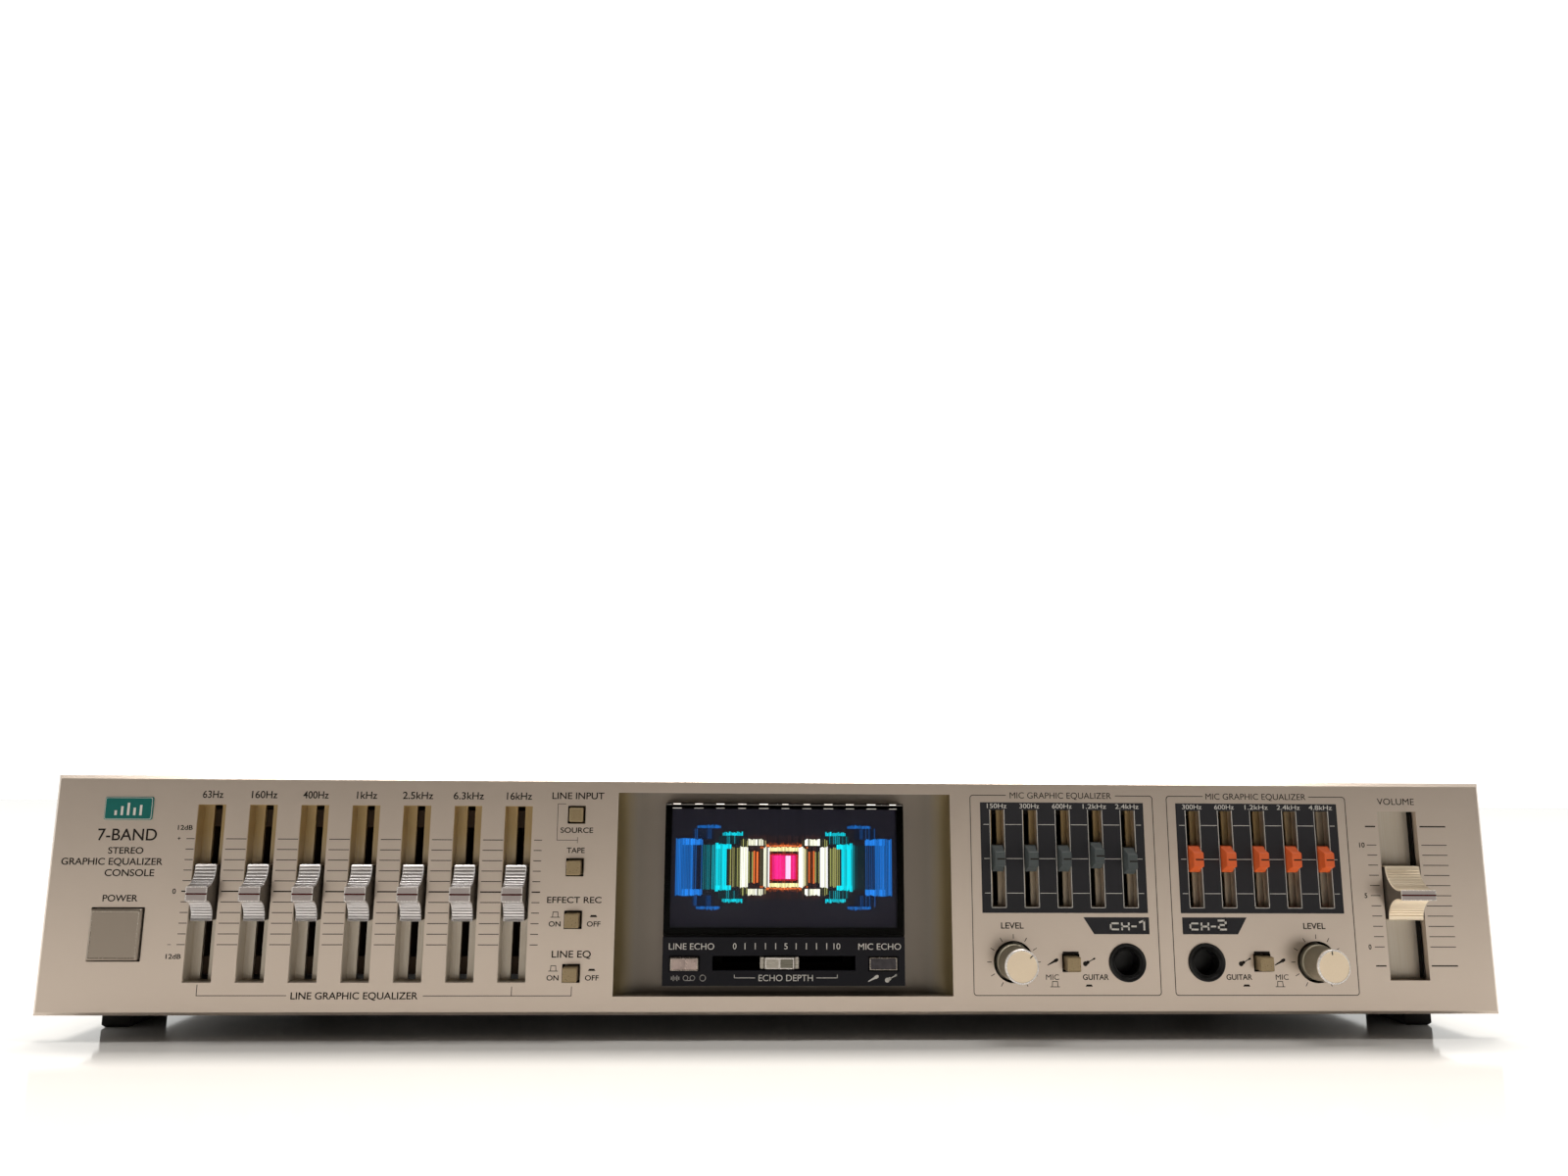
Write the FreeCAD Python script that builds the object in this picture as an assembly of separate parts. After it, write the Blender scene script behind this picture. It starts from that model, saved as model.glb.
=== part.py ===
import FreeCAD, Part
import os

# Graphic equalizer with microphone mixing and echo, a free-standing hi-fi component.
# Row frame: +X to the right seen from the front, +Y to the back, +Z up, millimetres.
# Every piece is drawn in the panel's own frame (y = 0 at the panel's front face,
# z = 0 at its bottom edge), and save() moves it to the row frame.

V = FreeCAD.Vector

# ---- overall sizes -------------------------------------------------------------
PANEL_WIDTH = 430.0          # the usual width of a full-size hi-fi component
PANEL_HEIGHT = 68.0
PANEL_THICK = 3.0
PANEL_CHAMFER = 1.0
FOOT_HEIGHT = 7.0            # panel bottom edge above the shelf
BODY_DEPTH = 240.0           # panel front to rear panel's outer face
LEVEL_PROUD = 10.0           # level knobs ahead of the panel
PHONO_PROUD = 10.0           # phono sockets past the rear panel
FRONT_Y = LEVEL_PROUD - (LEVEL_PROUD + BODY_DEPTH + PHONO_PROUD) / 2.0

# ---- case ------------------------------------------------------------------------
SHEET = 1.2                  # steel sheet of pan and rear panel
COVER_SHEET = 1.0
COVER_HALF = 209.0           # half the cover's outer width
COVER_TOP = 66.3
PAN_HALF = COVER_HALF - COVER_SHEET
PAN_BOTTOM = 2.0
PAN_FLOOR = PAN_BOTTOM + SHEET
PAN_FLANGE = 12.0
REAR_Y = BODY_DEPTH - SHEET
INNER_Y = 4.6                # front face of the inner front plate
INNER_BACK = INNER_Y + 1.0
INNER_HALF = PAN_HALF - SHEET
INNER_TOP = 65.2
RUN = 0.5                    # side clearance between a slot and what slides in it

# ---- line equalizer sliders ------------------------------------------------------
LINE_COUNT = 7
LINE_PITCH = 15.0
LINE_FIRST_X = -169.5
LINE_Z = 34.45               # slider centre at its middle detent
LINE_SLOT = (8.15, 50.5)
LINE_LEVER_SLOT = 2.3
LINE_KNOB = (6.1, 16.1)      # width, height
LINE_RIDGE = (4.2, 5.3)      # height, proud of the panel
LINE_LEVER = (1.3, 5.0)
KNOB_END_PROUD = 0.8
KNOB_BACK = 3.8
LEVER_TIP = 12.5
POT_BACK = 15.0
SLIDE_TRAVEL = 15.0

# ---- microphone equalizer sliders --------------------------------------------
MIC_COUNT = 5
MIC_PITCH = 10.0
MIC_CENTRE_X = {"ch1": 84.3, "ch2": 144.4}
MIC_Z = 45.05
MIC_SLOT = (4.1, 28.5)
MIC_LEVER_SLOT = 1.6
MIC_KNOB = (3.4, 7.8)
MIC_FACE = (2.9, 4.8)        # width and height of the knob's raised face
MIC_PROUD = 3.5
MIC_LEVER = (0.9, 3.4)
MIC_REST = {"ch1": (0.0, 0.0, 0.0, 0.95, -0.6), "ch2": (0.0, 0.0, 0.0, 0.0, 0.0)}
MIC_TRAVEL = 10.0

# ---- volume slider -------------------------------------------------------------
VOLUME_X = 188.15
VOLUME_Z = 34.6
VOLUME_REST = 0.6
VOLUME_SLOT = (12.1, 49.75)
VOLUME_KNOB = (10.7, 15.9)
VOLUME_RIDGE = (3.1, 8.2)
VOLUME_LEVER_X = 183.6       # the lever passes at the knob's left edge
VOLUME_LEVER_SLOT = 2.2

# ---- push buttons -----------------------------------------------------------------
BUTTON_CAP = 4.1
BUTTON_HOLE = 5.25
BUTTON_LENGTH = 5.8
BUTTON_PROUD = 3.6
BUTTON_TRAVEL = 2.1
BUTTON_STEM = 2.4
SWITCH_LENGTH = 14.5
COLUMN_X = -62.3
COLUMN = {"source_button": 57.25, "tape_button": 41.95,
          "effect_rec_button": 26.9, "line_eq_button": 11.75}
PRESSED = ("source_button", "mic_echo_button")
MODE_BUTTON = {"ch1": (85.4, 14.75), "ch2": (143.3, 14.85)}

POWER_XZ = (-193.65, 22.6)
POWER_CAP = 14.4
POWER_HOLE = 15.2
POWER_PROUD = 1.2            # pressed in and latched
POWER_LENGTH = 5.0
POWER_STEM = 5.0

# ---- level knobs and jacks -------------------------------------------------------
LEVEL_XZ = {"ch1": (68.3, 15.0), "ch2": (160.1, 15.0)}
LEVEL_REST_DEG = {"ch1": 45.0, "ch2": -5.0}   # clockwise from the top
LEVEL_HOLE_R = 6.05
LEVEL_KNOB_R = 4.95
LEVEL_SKIRT_R = 5.3
LEVEL_BACK = 1.5
LEVEL_SHAFT_R = 3.0
LEVEL_BUSH_R = 4.5
SHAFT_CLEAR = 0.35

JACK_XZ = {"ch1": (102.4, 14.8), "ch2": (126.4, 14.9)}
JACK_BORE_R = 3.25
JACK_BORE_FRONT = 6.0        # the throat in front of it is wider
JACK_THROAT_R = 3.6
JACK_NOSE_R = 5.0
JACK_RING_R = 5.55
JACK_FUNNEL = 1.4
JACK_BACK = 30.0
JACK_BODY = (14.0, 14.6)

# ---- display and echo section ------------------------------------------------------
OPENING_HALF = 50.0
OPENING_Z = (5.3, 63.8)
TRAY_HALF = 52.0
TRAY_Z = (4.4, 64.7)
TRAY_BACK = 9.5
DISH_DEPTH = 8.0
DISH_FILLET = 4.9
BLOCK_HALF = 35.8
BLOCK_Z = (8.2, 60.9)
BLOCK_WALL = 1.8
WINDOW_BOTTOM = 22.6
WINDOW_THICK = 2.5
FASCIA_TOP = 22.1
BLOCK_BACK = 30.0
SCREEN_Y = 6.0
LAMP_Y = 20.0
ECHO_Z = 14.65
ECHO_SLOT = (42.2, 4.15)
ECHO_KNOB = (11.5, 3.2)
ECHO_LEVER = (4.0, 1.2)
ECHO_REST = -1.4
ECHO_BUTTON = (8.1, 3.6)
ECHO_BUTTON_X = 29.35
ECHO_BUTTON_Z = 14.5
ECHO_STEM = (3.0, 2.4)
ECHO_PROUD = 1.6
ECHO_TRAVEL = 1.4
ECHO_CAVITY_Z = (BLOCK_Z[0] + BLOCK_WALL, FASCIA_TOP - BLOCK_WALL)

# ---- rear panel, screws and boards -------------------------------------------------
LIP_SCREW_Z = 61.0
LIP_SCREW_X = (-170.0, 0.0, 170.0)
LIP_HEIGHT = 9.0
PHONO_R = 4.15
PHONO_NECK_R = 3.5
PHONO_BLOCK_THICK = 1.6
PHONO_PIN_R = 1.6
PHONO_ROW_PITCH = 14.0
PHONO_COLUMN_PITCH = 18.2
PHONO_COLUMNS = 4
PHONO_X = 120.0
PHONO_Z = 34.0
GLAND_XZ = (-175.0, 30.0)
GLAND_NECK_R = 5.5
GLAND_BORE_R = 3.5
GLAND_FLANGE = (8.0, 2.5)    # radius, thickness
GLAND_NOSE = (7.0, 5.5, 5.5)     # base radius, tip radius, length
BOARD_Z = 10.0
BOARD_X = (-50.0, 190.0)
BOARD_Y = (60.0, 215.0)
BOARD_THICK = 1.6
REAR_SCREW_Z = 8.0
REAR_SCREW_X = (-185.0, -60.0, 60.0, 185.0)
COVER_SCREW_Z = 9.0
COVER_SCREW_Y = (40.0, 205.0)
CORE = (56.0, 20.0, 46.0)    # transformer core: width, depth, height
CORE_AT = (-140.0, 175.0)
CORE_TAB = (20.0, 16.0, 1.5)
CORE_WINDOW = (14.0, 10.0)   # offset from the middle, width
CORE_YOKE = 9.0
WINDING_HALF = 19.0          # half the winding's width: it fills both windows
WINDING_PROUD = 10.0

# ---- feet ----------------------------------------------------------------------------
FOOT_X = 201.2               # narrow blocks close under the case's sides
FOOT_Y = (32.0, 208.0)
FOOT_SIZE = (8.6, 23.3)
FOOT_BRIM = 1.2              # the flange is this much wider all round
FOOT_CHAMFER = 0.8
FOOT_WELL_R = 3.1
FOOT_WELL_TOP = -3.0         # the screw's head stands against it

# ---- screws --------------------------------------------------------------------------
SCREW_R = 1.5
SCREW_HOLE_R = 1.6
SCREW_HEAD_R = 2.8
SCREW_HEAD = 1.8
SCREW_REACH = 6.0
COVER_SCREW_R = 2.0
COVER_SCREW_HOLE_R = 2.1
COVER_SCREW_HEAD = (4.0, 2.2)    # radius, height
COVER_SCREW_SLOT = (6.0, 1.0)    # length, width and depth

# ---- cooling slots -------------------------------------------------------------------
PAN_VENT = (30.0, 3.0)
PAN_VENT_X = (-150, -110, -20, 20, 60, 100)
PAN_VENT_Y = range(70, 190, 10)
COVER_VENT_WIDTH = 3.0
COVER_VENT_PITCH = 7.0
COVER_VENT_COUNT = 16
COVER_VENT_X = (-180, 60)        # left end of each field
COVER_VENT_Y = (130, 205)


# ---- small helpers ---------------------------------------------------------------------
def box(x0, x1, y0, y1, z0, z1):
    return Part.makeBox(x1 - x0, y1 - y0, z1 - z0, V(x0, y0, z0))


def block(x, z, width, height, y0, y1):
    """A box centred on (x, z), from y0 to y1."""
    return box(x - width / 2, x + width / 2, y0, y1, z - height / 2, z + height / 2)


def rod(x, z, radius, y0, y1):
    """A cylinder along Y."""
    return Part.makeCylinder(radius, y1 - y0, V(x, y0, z), V(0, 1, 0))


def post(x, y, radius, z0, z1):
    """A cylinder along Z."""
    return Part.makeCylinder(radius, z1 - z0, V(x, y, z0), V(0, 0, 1))


def pin_x(y, z, radius, x0, x1):
    """A cylinder along X."""
    return Part.makeCylinder(radius, x1 - x0, V(x0, y, z), V(1, 0, 0))


def cut(solid, tools):
    return solid.cut(Part.makeCompound(tools))


def fuse(first, *others):
    return first.fuse(list(others)).removeSplitter()


def edges_where(solid, test):
    return [e for e in solid.Edges if test(e.BoundBox)]


def save(name, solids):
    """Moves the solids to the row frame and writes them as one node."""
    shape = solids[0] if len(solids) == 1 else Part.makeCompound(solids)
    shape = shape.copy()
    shape.translate(V(0, FRONT_Y, FOOT_HEIGHT))
    for solid in shape.Solids:
        assert solid.isValid(), name
    shape.exportStep("parts/%s.step" % name)
    print("%-26s %3d solids %9.1f mm3" % (name, len(shape.Solids), shape.Volume))


def line_x(index):
    return LINE_FIRST_X + index * LINE_PITCH


def mic_x(channel, index):
    return MIC_CENTRE_X[channel] + (index - (MIC_COUNT - 1) / 2) * MIC_PITCH


def small_buttons():
    """Name, x and z of each square push button in the panel."""
    buttons = [(name, COLUMN_X, z) for name, z in COLUMN.items()]
    for channel, (x, z) in MODE_BUTTON.items():
        buttons.append(("mode_button_" + channel, x, z))
    return buttons


def echo_buttons():
    return [("line_echo_button", -ECHO_BUTTON_X), ("mic_echo_button", ECHO_BUTTON_X)]


# ---- front ---------------------------------------------------------------------------
def front_panel():
    half = PANEL_WIDTH / 2
    plate = box(-half, half, 0, PANEL_THICK, 0, PANEL_HEIGHT)
    rim = edges_where(plate, lambda b: b.YMax < 0.01)
    plate = plate.makeChamfer(PANEL_CHAMFER, rim)
    back = PANEL_THICK + 1
    cuts = [block(line_x(i), LINE_Z, *LINE_SLOT, -1, back) for i in range(LINE_COUNT)]
    for channel in MIC_CENTRE_X:
        cuts += [block(mic_x(channel, i), MIC_Z, *MIC_SLOT, -1, back) for i in range(MIC_COUNT)]
        cuts.append(rod(*LEVEL_XZ[channel], LEVEL_HOLE_R, -1, back))
        cuts.append(rod(*JACK_XZ[channel], JACK_NOSE_R, -1, back))
    cuts += [block(x, z, BUTTON_HOLE, BUTTON_HOLE, -1, back) for _, x, z in small_buttons()]
    cuts.append(block(*POWER_XZ, POWER_HOLE, POWER_HOLE, -1, back))
    cuts.append(block(VOLUME_X, VOLUME_Z, *VOLUME_SLOT, -1, back))
    cuts.append(box(-OPENING_HALF, OPENING_HALF, -1, back, *OPENING_Z))
    return cut(plate, cuts)


def inner_plate():
    """The steel plate behind the panel: it backs the slots and carries the controls."""
    plate = box(-INNER_HALF, INNER_HALF, INNER_Y, INNER_BACK, PAN_FLOOR, INNER_TOP)
    flanges = [box(side * INNER_HALF - (side > 0) * SHEET, side * INNER_HALF + (side < 0) * SHEET,
                   INNER_Y, INNER_Y + 12, PAN_FLOOR, INNER_TOP - 1) for side in (-1, 1)]
    pads = [block(x, z, 5, 3, PANEL_THICK, INNER_Y)
            for x in (-204, -57, 57, 203) for z in (6, 62.5)]
    body = fuse(plate, *flanges, *pads)
    front, back = INNER_Y - 2, INNER_BACK + 1
    cuts = [block(line_x(i), LINE_Z, LINE_LEVER_SLOT, LINE_SLOT[1], front, back)
            for i in range(LINE_COUNT)]
    for channel in MIC_CENTRE_X:
        cuts += [block(mic_x(channel, i), MIC_Z, MIC_LEVER_SLOT, MIC_SLOT[1], front, back)
                 for i in range(MIC_COUNT)]
        cuts.append(rod(*LEVEL_XZ[channel], LEVEL_BUSH_R, front, back))
        cuts.append(rod(*JACK_XZ[channel], JACK_NOSE_R, front, back))
    cuts += [block(x, z, BUTTON_STEM + 2 * RUN, BUTTON_STEM + 2 * RUN, front, back)
             for _, x, z in small_buttons()]
    cuts.append(block(*POWER_XZ, POWER_STEM + 2 * RUN, POWER_STEM + 2 * RUN, front, back))
    cuts.append(block(VOLUME_LEVER_X, VOLUME_Z, VOLUME_LEVER_SLOT, VOLUME_SLOT[1] - 4, front, back))
    cuts.append(box(-TRAY_HALF, TRAY_HALF, front, back, *TRAY_Z))
    return cut(body, cuts)


def badge_plate():
    plate = box(-200.4, -186.5, -0.4, 0, 55.1, 61.75)
    return plate.makeFillet(0.4, edges_where(plate, lambda b: b.YLength > 0.3 and b.XLength < 0.1
                                             and b.ZLength < 0.1))


# ---- display and echo section -------------------------------------------------------------
def display_surround():
    """A moulded dish behind the panel's opening, with coved walls round the display."""
    tray = box(-TRAY_HALF, TRAY_HALF, PANEL_THICK, TRAY_BACK, *TRAY_Z)
    dish = box(-OPENING_HALF, OPENING_HALF, -1, DISH_DEPTH, *OPENING_Z)
    dish = dish.makeFillet(DISH_FILLET, edges_where(dish, lambda b: b.YMin > DISH_DEPTH - 0.01))
    hole = box(-BLOCK_HALF, BLOCK_HALF, -1, TRAY_BACK + 1, *BLOCK_Z)
    return cut(tray, [dish, hole])


def display_housing():
    """A black moulded box: display tunnel above, echo controls below."""
    low, high = BLOCK_Z
    body = box(-BLOCK_HALF, BLOCK_HALF, WINDOW_THICK, BLOCK_BACK, low, high)
    inner = BLOCK_HALF - BLOCK_WALL
    tunnel = box(-inner, inner, WINDOW_THICK - 1, LAMP_Y, WINDOW_BOTTOM + BLOCK_WALL,
                 high - BLOCK_WALL)
    cavity = box(-inner, inner, WINDOW_THICK - 1, BLOCK_BACK - BLOCK_WALL, *ECHO_CAVITY_Z)
    lamps = box(-inner + 4, inner - 4, LAMP_Y - 1, BLOCK_BACK + 1,
                WINDOW_BOTTOM + 6, high - 6)
    return cut(body, [tunnel, cavity, lamps])


def display_window():
    pane = box(-BLOCK_HALF, BLOCK_HALF, 0, WINDOW_THICK, WINDOW_BOTTOM, BLOCK_Z[1])
    return pane.makeChamfer(0.6, edges_where(pane, lambda b: b.YMax < 0.01 and b.ZMin > 60))


def display_screen():
    inner = BLOCK_HALF - BLOCK_WALL
    return box(-inner, inner, SCREEN_Y, SCREEN_Y + 1.5, WINDOW_BOTTOM + BLOCK_WALL,
               BLOCK_Z[1] - BLOCK_WALL)


def display_lamps():
    """Lamp board at the back of the tunnel, with two rows of small lamps."""
    inner = BLOCK_HALF - BLOCK_WALL
    centre_z = (WINDOW_BOTTOM + BLOCK_Z[1]) / 2
    board = box(-inner, inner, LAMP_Y - 1.5, LAMP_Y, WINDOW_BOTTOM + BLOCK_WALL,
                BLOCK_Z[1] - BLOCK_WALL)
    lamps = [rod(x, centre_z + row, 1.5, LAMP_Y - 7, LAMP_Y - 1.5)
             for x in range(-28, 29, 8) for row in (-7, 7)]
    return [board] + lamps


def echo_fascia():
    plate = box(-BLOCK_HALF, BLOCK_HALF, 0, WINDOW_THICK, BLOCK_Z[0], FASCIA_TOP)
    width, height = ECHO_BUTTON
    cuts = [block(0, ECHO_Z, *ECHO_SLOT, -1, WINDOW_THICK + 1)]
    cuts += [block(x, ECHO_BUTTON_Z, width + 2 * 0.35, height + 2 * 0.35, -1, WINDOW_THICK + 1)
             for _, x in echo_buttons()]
    return cut(plate, cuts)


# ---- knobs and buttons ------------------------------------------------------------------
def ridge_knob(x, z, knob, ridge):
    """A slider knob with a raised ridge across its middle and a scoop above and below."""
    width, height = knob
    ridge_height, proud = ridge
    end, top = height / 2, ridge_height / 2
    low = -KNOB_END_PROUD
    scoop = 0.62 * (end - top)

    def at(y, dz):
        return V(x - width / 2, y, z + dz)

    def scooped(sign):
        middle = at(low - 0.18 * (proud + low), sign * (end - scoop))
        return Part.Arc(at(low, sign * end), middle, at(-proud, sign * top)).toShape()

    upper = scooped(1)
    lower = scooped(-1)
    edges = [Part.makeLine(at(KNOB_BACK, -end), at(KNOB_BACK, end)),
             Part.makeLine(at(KNOB_BACK, end), at(low, end)), upper,
             Part.makeLine(at(-proud, top), at(-proud, -top)), lower,
             Part.makeLine(at(low, -end), at(KNOB_BACK, -end))]
    outline = Part.Wire(Part.sortEdges(edges)[0])
    return Part.Face(outline).extrude(V(width, 0, 0))


def lever(x, z, size, tip=LEVER_TIP):
    return block(x, z, *size, KNOB_BACK, tip)


def mic_knob(x, z):
    """A small slider cap whose face narrows to a flat pad."""
    base = block(x, z, *MIC_KNOB, 0.4, KNOB_BACK)
    rings = []
    for (width, height), y in ((MIC_KNOB, 0.4), (MIC_FACE, -MIC_PROUD)):
        corners = [V(x + sx * width / 2, y, z + sz * height / 2)
                   for sx, sz in ((-1, -1), (1, -1), (1, 1), (-1, 1), (-1, -1))]
        rings.append(Part.makePolygon(corners))
    return fuse(base, Part.makeLoft(rings, True, True))


def echo_knob():
    width, height = ECHO_KNOB
    body = block(ECHO_REST, ECHO_Z + 0.1, width, height, -0.6, KNOB_BACK)
    grip = block(ECHO_REST, ECHO_Z + 0.1, 8.1, height, -1.6, -0.6)
    return fuse(body, grip)


def level_knob(x, z, rest_deg):
    """A round knob with a skirt and a pointer groove on its face."""
    grip = rod(x, z, LEVEL_KNOB_R, -LEVEL_PROUD, 0)
    grip = grip.makeChamfer(0.45, edges_where(grip, lambda b: b.YMax < 0.01 - LEVEL_PROUD))
    body = fuse(grip, rod(x, z, LEVEL_SKIRT_R, -1.2, LEVEL_BACK))
    groove = box(x - 0.25, x + 0.25, -LEVEL_PROUD - 1, -LEVEL_PROUD + 0.3, z + 2.6, z + 6)
    groove.rotate(V(x, 0, z), V(0, 1, 0), rest_deg)
    return body.cut(groove)


def button(x, z, rest):
    """A square push button with its stem; rest is how far it is pressed in."""
    front = rest - BUTTON_PROUD
    cap = block(x, z, BUTTON_CAP, BUTTON_CAP, front, front + BUTTON_LENGTH)
    cap = cap.makeChamfer(0.3, edges_where(cap, lambda b: b.YMax < front + 0.01))
    back = front + BUTTON_LENGTH
    return fuse(cap, block(x, z, BUTTON_STEM, BUTTON_STEM, back, back + 10.5))


def echo_button(x, rest):
    width, height = ECHO_BUTTON
    front = rest - ECHO_PROUD
    cap = block(x, ECHO_BUTTON_Z, width, height, front, front + 6.5)
    cap = cap.makeChamfer(0.3, edges_where(cap, lambda b: b.YMax < front + 0.01))
    return fuse(cap, block(x, ECHO_BUTTON_Z, *ECHO_STEM, front + 6.5, front + 17))


def power_button():
    x, z = POWER_XZ
    back = POWER_LENGTH - POWER_PROUD
    cap = block(x, z, POWER_CAP, POWER_CAP, -POWER_PROUD, back)
    cap = cap.makeChamfer(0.7, edges_where(cap, lambda b: b.YMax < 0.01 - POWER_PROUD))
    return fuse(cap, block(x, z, POWER_STEM, POWER_STEM, back, 18))


# ---- electrical parts behind the panel ------------------------------------------------------
def slide_pot(x, z, width, travel, lever_size):
    """A slide potentiometer: a box with a slot for its lever, travel to each side."""
    lever_width, lever_height = lever_size
    room = 2 * (travel + 1.2) + lever_height
    body = block(x, z, width, room + 10, INNER_BACK, POT_BACK)
    return body.cut(block(x, z, lever_width + 2 * 0.4, room, INNER_BACK - 1, LEVER_TIP + 0.7))


def echo_slide_pot():
    """The sideways slide potentiometer: it fills the height of the housing's lower cavity."""
    front, back = 9.0, 18.0
    room = 2 * (SLIDE_TRAVEL + 1.2) + ECHO_LEVER[0]
    half = room / 2 + 2.5
    body = box(-half, half, front, back, *ECHO_CAVITY_Z)
    return body.cut(block(0, ECHO_Z, room, ECHO_LEVER[1] + 2 * RUN, front - 1, LEVER_TIP + 3))


def level_pot(x, z):
    body = block(x, z, 15.5, 15.0, INNER_BACK, 16.0)
    bush = rod(x, z, LEVEL_BUSH_R, 2.6, INNER_BACK)
    return fuse(body, bush).cut(rod(x, z, LEVEL_SHAFT_R + SHAFT_CLEAR, 2, 14.0))


def push_switch(x, z, stem, body_size=(8.0, 8.0), length=SWITCH_LENGTH):
    """A switch body on the inner plate, bored for its button's stem."""
    body = block(x, z, *body_size, INNER_BACK, INNER_BACK + length)
    bore = stem + 2 * RUN
    return body.cut(block(x, z, bore, bore, INNER_Y, INNER_BACK + length - SHEET))


def echo_switch(x):
    """A switch that fills the height of the housing's lower cavity."""
    front = 8.5
    half = ECHO_BUTTON[0] / 2 + 0.25
    body = box(x - half, x + half, front, front + SWITCH_LENGTH, *ECHO_CAVITY_Z)
    width, height = ECHO_STEM
    return body.cut(block(x, ECHO_BUTTON_Z, width + 2 * RUN, height + 2 * RUN,
                          front - 1, front + SWITCH_LENGTH - SHEET))


def power_switch():
    return push_switch(*POWER_XZ, POWER_STEM, (17.0, 15.0), 26.0)


def push_switches():
    switches = [push_switch(x, z, BUTTON_STEM) for _, x, z in small_buttons()]
    return switches + [echo_switch(x) for _, x in echo_buttons()]


def mic_jack(x, z):
    """A jack socket: a round nose through the panel, its flared ring, and the body behind."""
    nose = rod(x, z, JACK_NOSE_R, 0, INNER_BACK)
    ring = rod(x, z, JACK_RING_R, -KNOB_END_PROUD, 0)
    body = block(x, z, *JACK_BODY, INNER_BACK, JACK_BACK)
    flare = Part.makeCone(JACK_RING_R - 0.8, JACK_THROAT_R, JACK_FUNNEL + 0.01,
                          V(x, -KNOB_END_PROUD - 0.01, z), V(0, 1, 0))
    throat = rod(x, z, JACK_THROAT_R, -1, JACK_BORE_FRONT)
    bore = rod(x, z, JACK_BORE_R, JACK_BORE_FRONT - 1, JACK_BACK - 2)
    return fuse(body, nose, ring).cut(flare).cut(throat).cut(bore)


# ---- case ---------------------------------------------------------------------------------
def chassis_pan():
    """Steel pan with side flanges, a rear flange, cooling slots and board standoffs."""
    floor = box(-PAN_HALF, PAN_HALF, INNER_Y, REAR_Y, PAN_BOTTOM, PAN_FLOOR)
    sides = [box(min(s * PAN_HALF, s * INNER_HALF), max(s * PAN_HALF, s * INNER_HALF),
                 INNER_Y, REAR_Y, PAN_BOTTOM, PAN_BOTTOM + PAN_FLANGE) for s in (-1, 1)]
    rear = box(-PAN_HALF, PAN_HALF, REAR_Y - SHEET, REAR_Y, PAN_BOTTOM, PAN_BOTTOM + PAN_FLANGE)
    studs = [post(x, y, 3.0, PAN_FLOOR - 0.1, BOARD_Z) for x, y in board_corners()]
    pan = fuse(floor, *sides, rear, *studs)
    width, height = PAN_VENT
    vents = [box(x, x + width, y, y + height, 0, PAN_FLOOR + 1)
             for x in PAN_VENT_X for y in PAN_VENT_Y]
    vents = [v for v in vents if clear_of_studs(v)]
    holes = [post(x, y, SCREW_HOLE_R, 0, PAN_FLOOR + 1) for x, y in foot_places()]
    holes += [rod(x, REAR_SCREW_Z, SCREW_HOLE_R, REAR_Y - 3, REAR_Y + 1) for x in REAR_SCREW_X]
    return cut(pan, vents + holes + cover_screw_holes(PAN_HALF))


def cover_screw_holes(half):
    """Holes for the cover's screws through walls half that far from the middle."""
    return [pin_x(y, COVER_SCREW_Z, COVER_SCREW_HOLE_R, s * half - 3, s * half + 3)
            for s in (-1, 1) for y in COVER_SCREW_Y]


def board_corners():
    inset = 8.0
    return [(x, y) for x in (BOARD_X[0] + inset, 70.0, BOARD_X[1] - inset)
            for y in (BOARD_Y[0] + inset, BOARD_Y[1] - inset)]


def clear_of_studs(vent):
    b = vent.BoundBox
    return not any(b.XMin - 6 < x < b.XMax + 6 and b.YMin - 6 < y < b.YMax + 6
                   for x, y in board_corners())


def rear_panel():
    plate = box(-COVER_HALF, COVER_HALF, REAR_Y, BODY_DEPTH, PAN_BOTTOM, COVER_TOP)
    holes = [rod(x, z, SCREW_HOLE_R, REAR_Y - 1, BODY_DEPTH + 1) for x, z in rear_screw_places()]
    holes += [rod(x, z, PHONO_NECK_R, REAR_Y - 1, BODY_DEPTH + 1) for x, z in phono_places()]
    holes.append(rod(*GLAND_XZ, GLAND_NECK_R, REAR_Y - 1, BODY_DEPTH + 1))
    return cut(plate, holes)


def rear_screw_places():
    return [(x, REAR_SCREW_Z) for x in REAR_SCREW_X] + [(x, LIP_SCREW_Z) for x in LIP_SCREW_X]


def phono_places():
    first = PHONO_X - (PHONO_COLUMNS - 1) / 2 * PHONO_COLUMN_PITCH
    return [(first + i * PHONO_COLUMN_PITCH, PHONO_Z + row * PHONO_ROW_PITCH)
            for i in range(PHONO_COLUMNS) for row in (-0.5, 0.5)]


def phono_block():
    """Moulded block that holds the phono sockets on the rear panel."""
    width = PHONO_COLUMN_PITCH * PHONO_COLUMNS + 2
    height = 2 * PHONO_ROW_PITCH + 2
    body = block(PHONO_X, PHONO_Z, width, height, BODY_DEPTH, BODY_DEPTH + PHONO_BLOCK_THICK)
    body = body.makeFillet(1.2, edges_where(body, lambda b: b.YLength > 1.5 and b.XLength < 0.1
                                            and b.ZLength < 0.1))
    return cut(body, [rod(x, z, PHONO_NECK_R, BODY_DEPTH - 1, BODY_DEPTH + 3)
                      for x, z in phono_places()])


def phono_socket(x, z):
    face = BODY_DEPTH + PHONO_BLOCK_THICK
    end = BODY_DEPTH + PHONO_PROUD
    socket = fuse(rod(x, z, PHONO_NECK_R, REAR_Y - 6, face), rod(x, z, PHONO_R, face, end))
    return socket.cut(rod(x, z, PHONO_PIN_R, BODY_DEPTH, end + 1))


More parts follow.
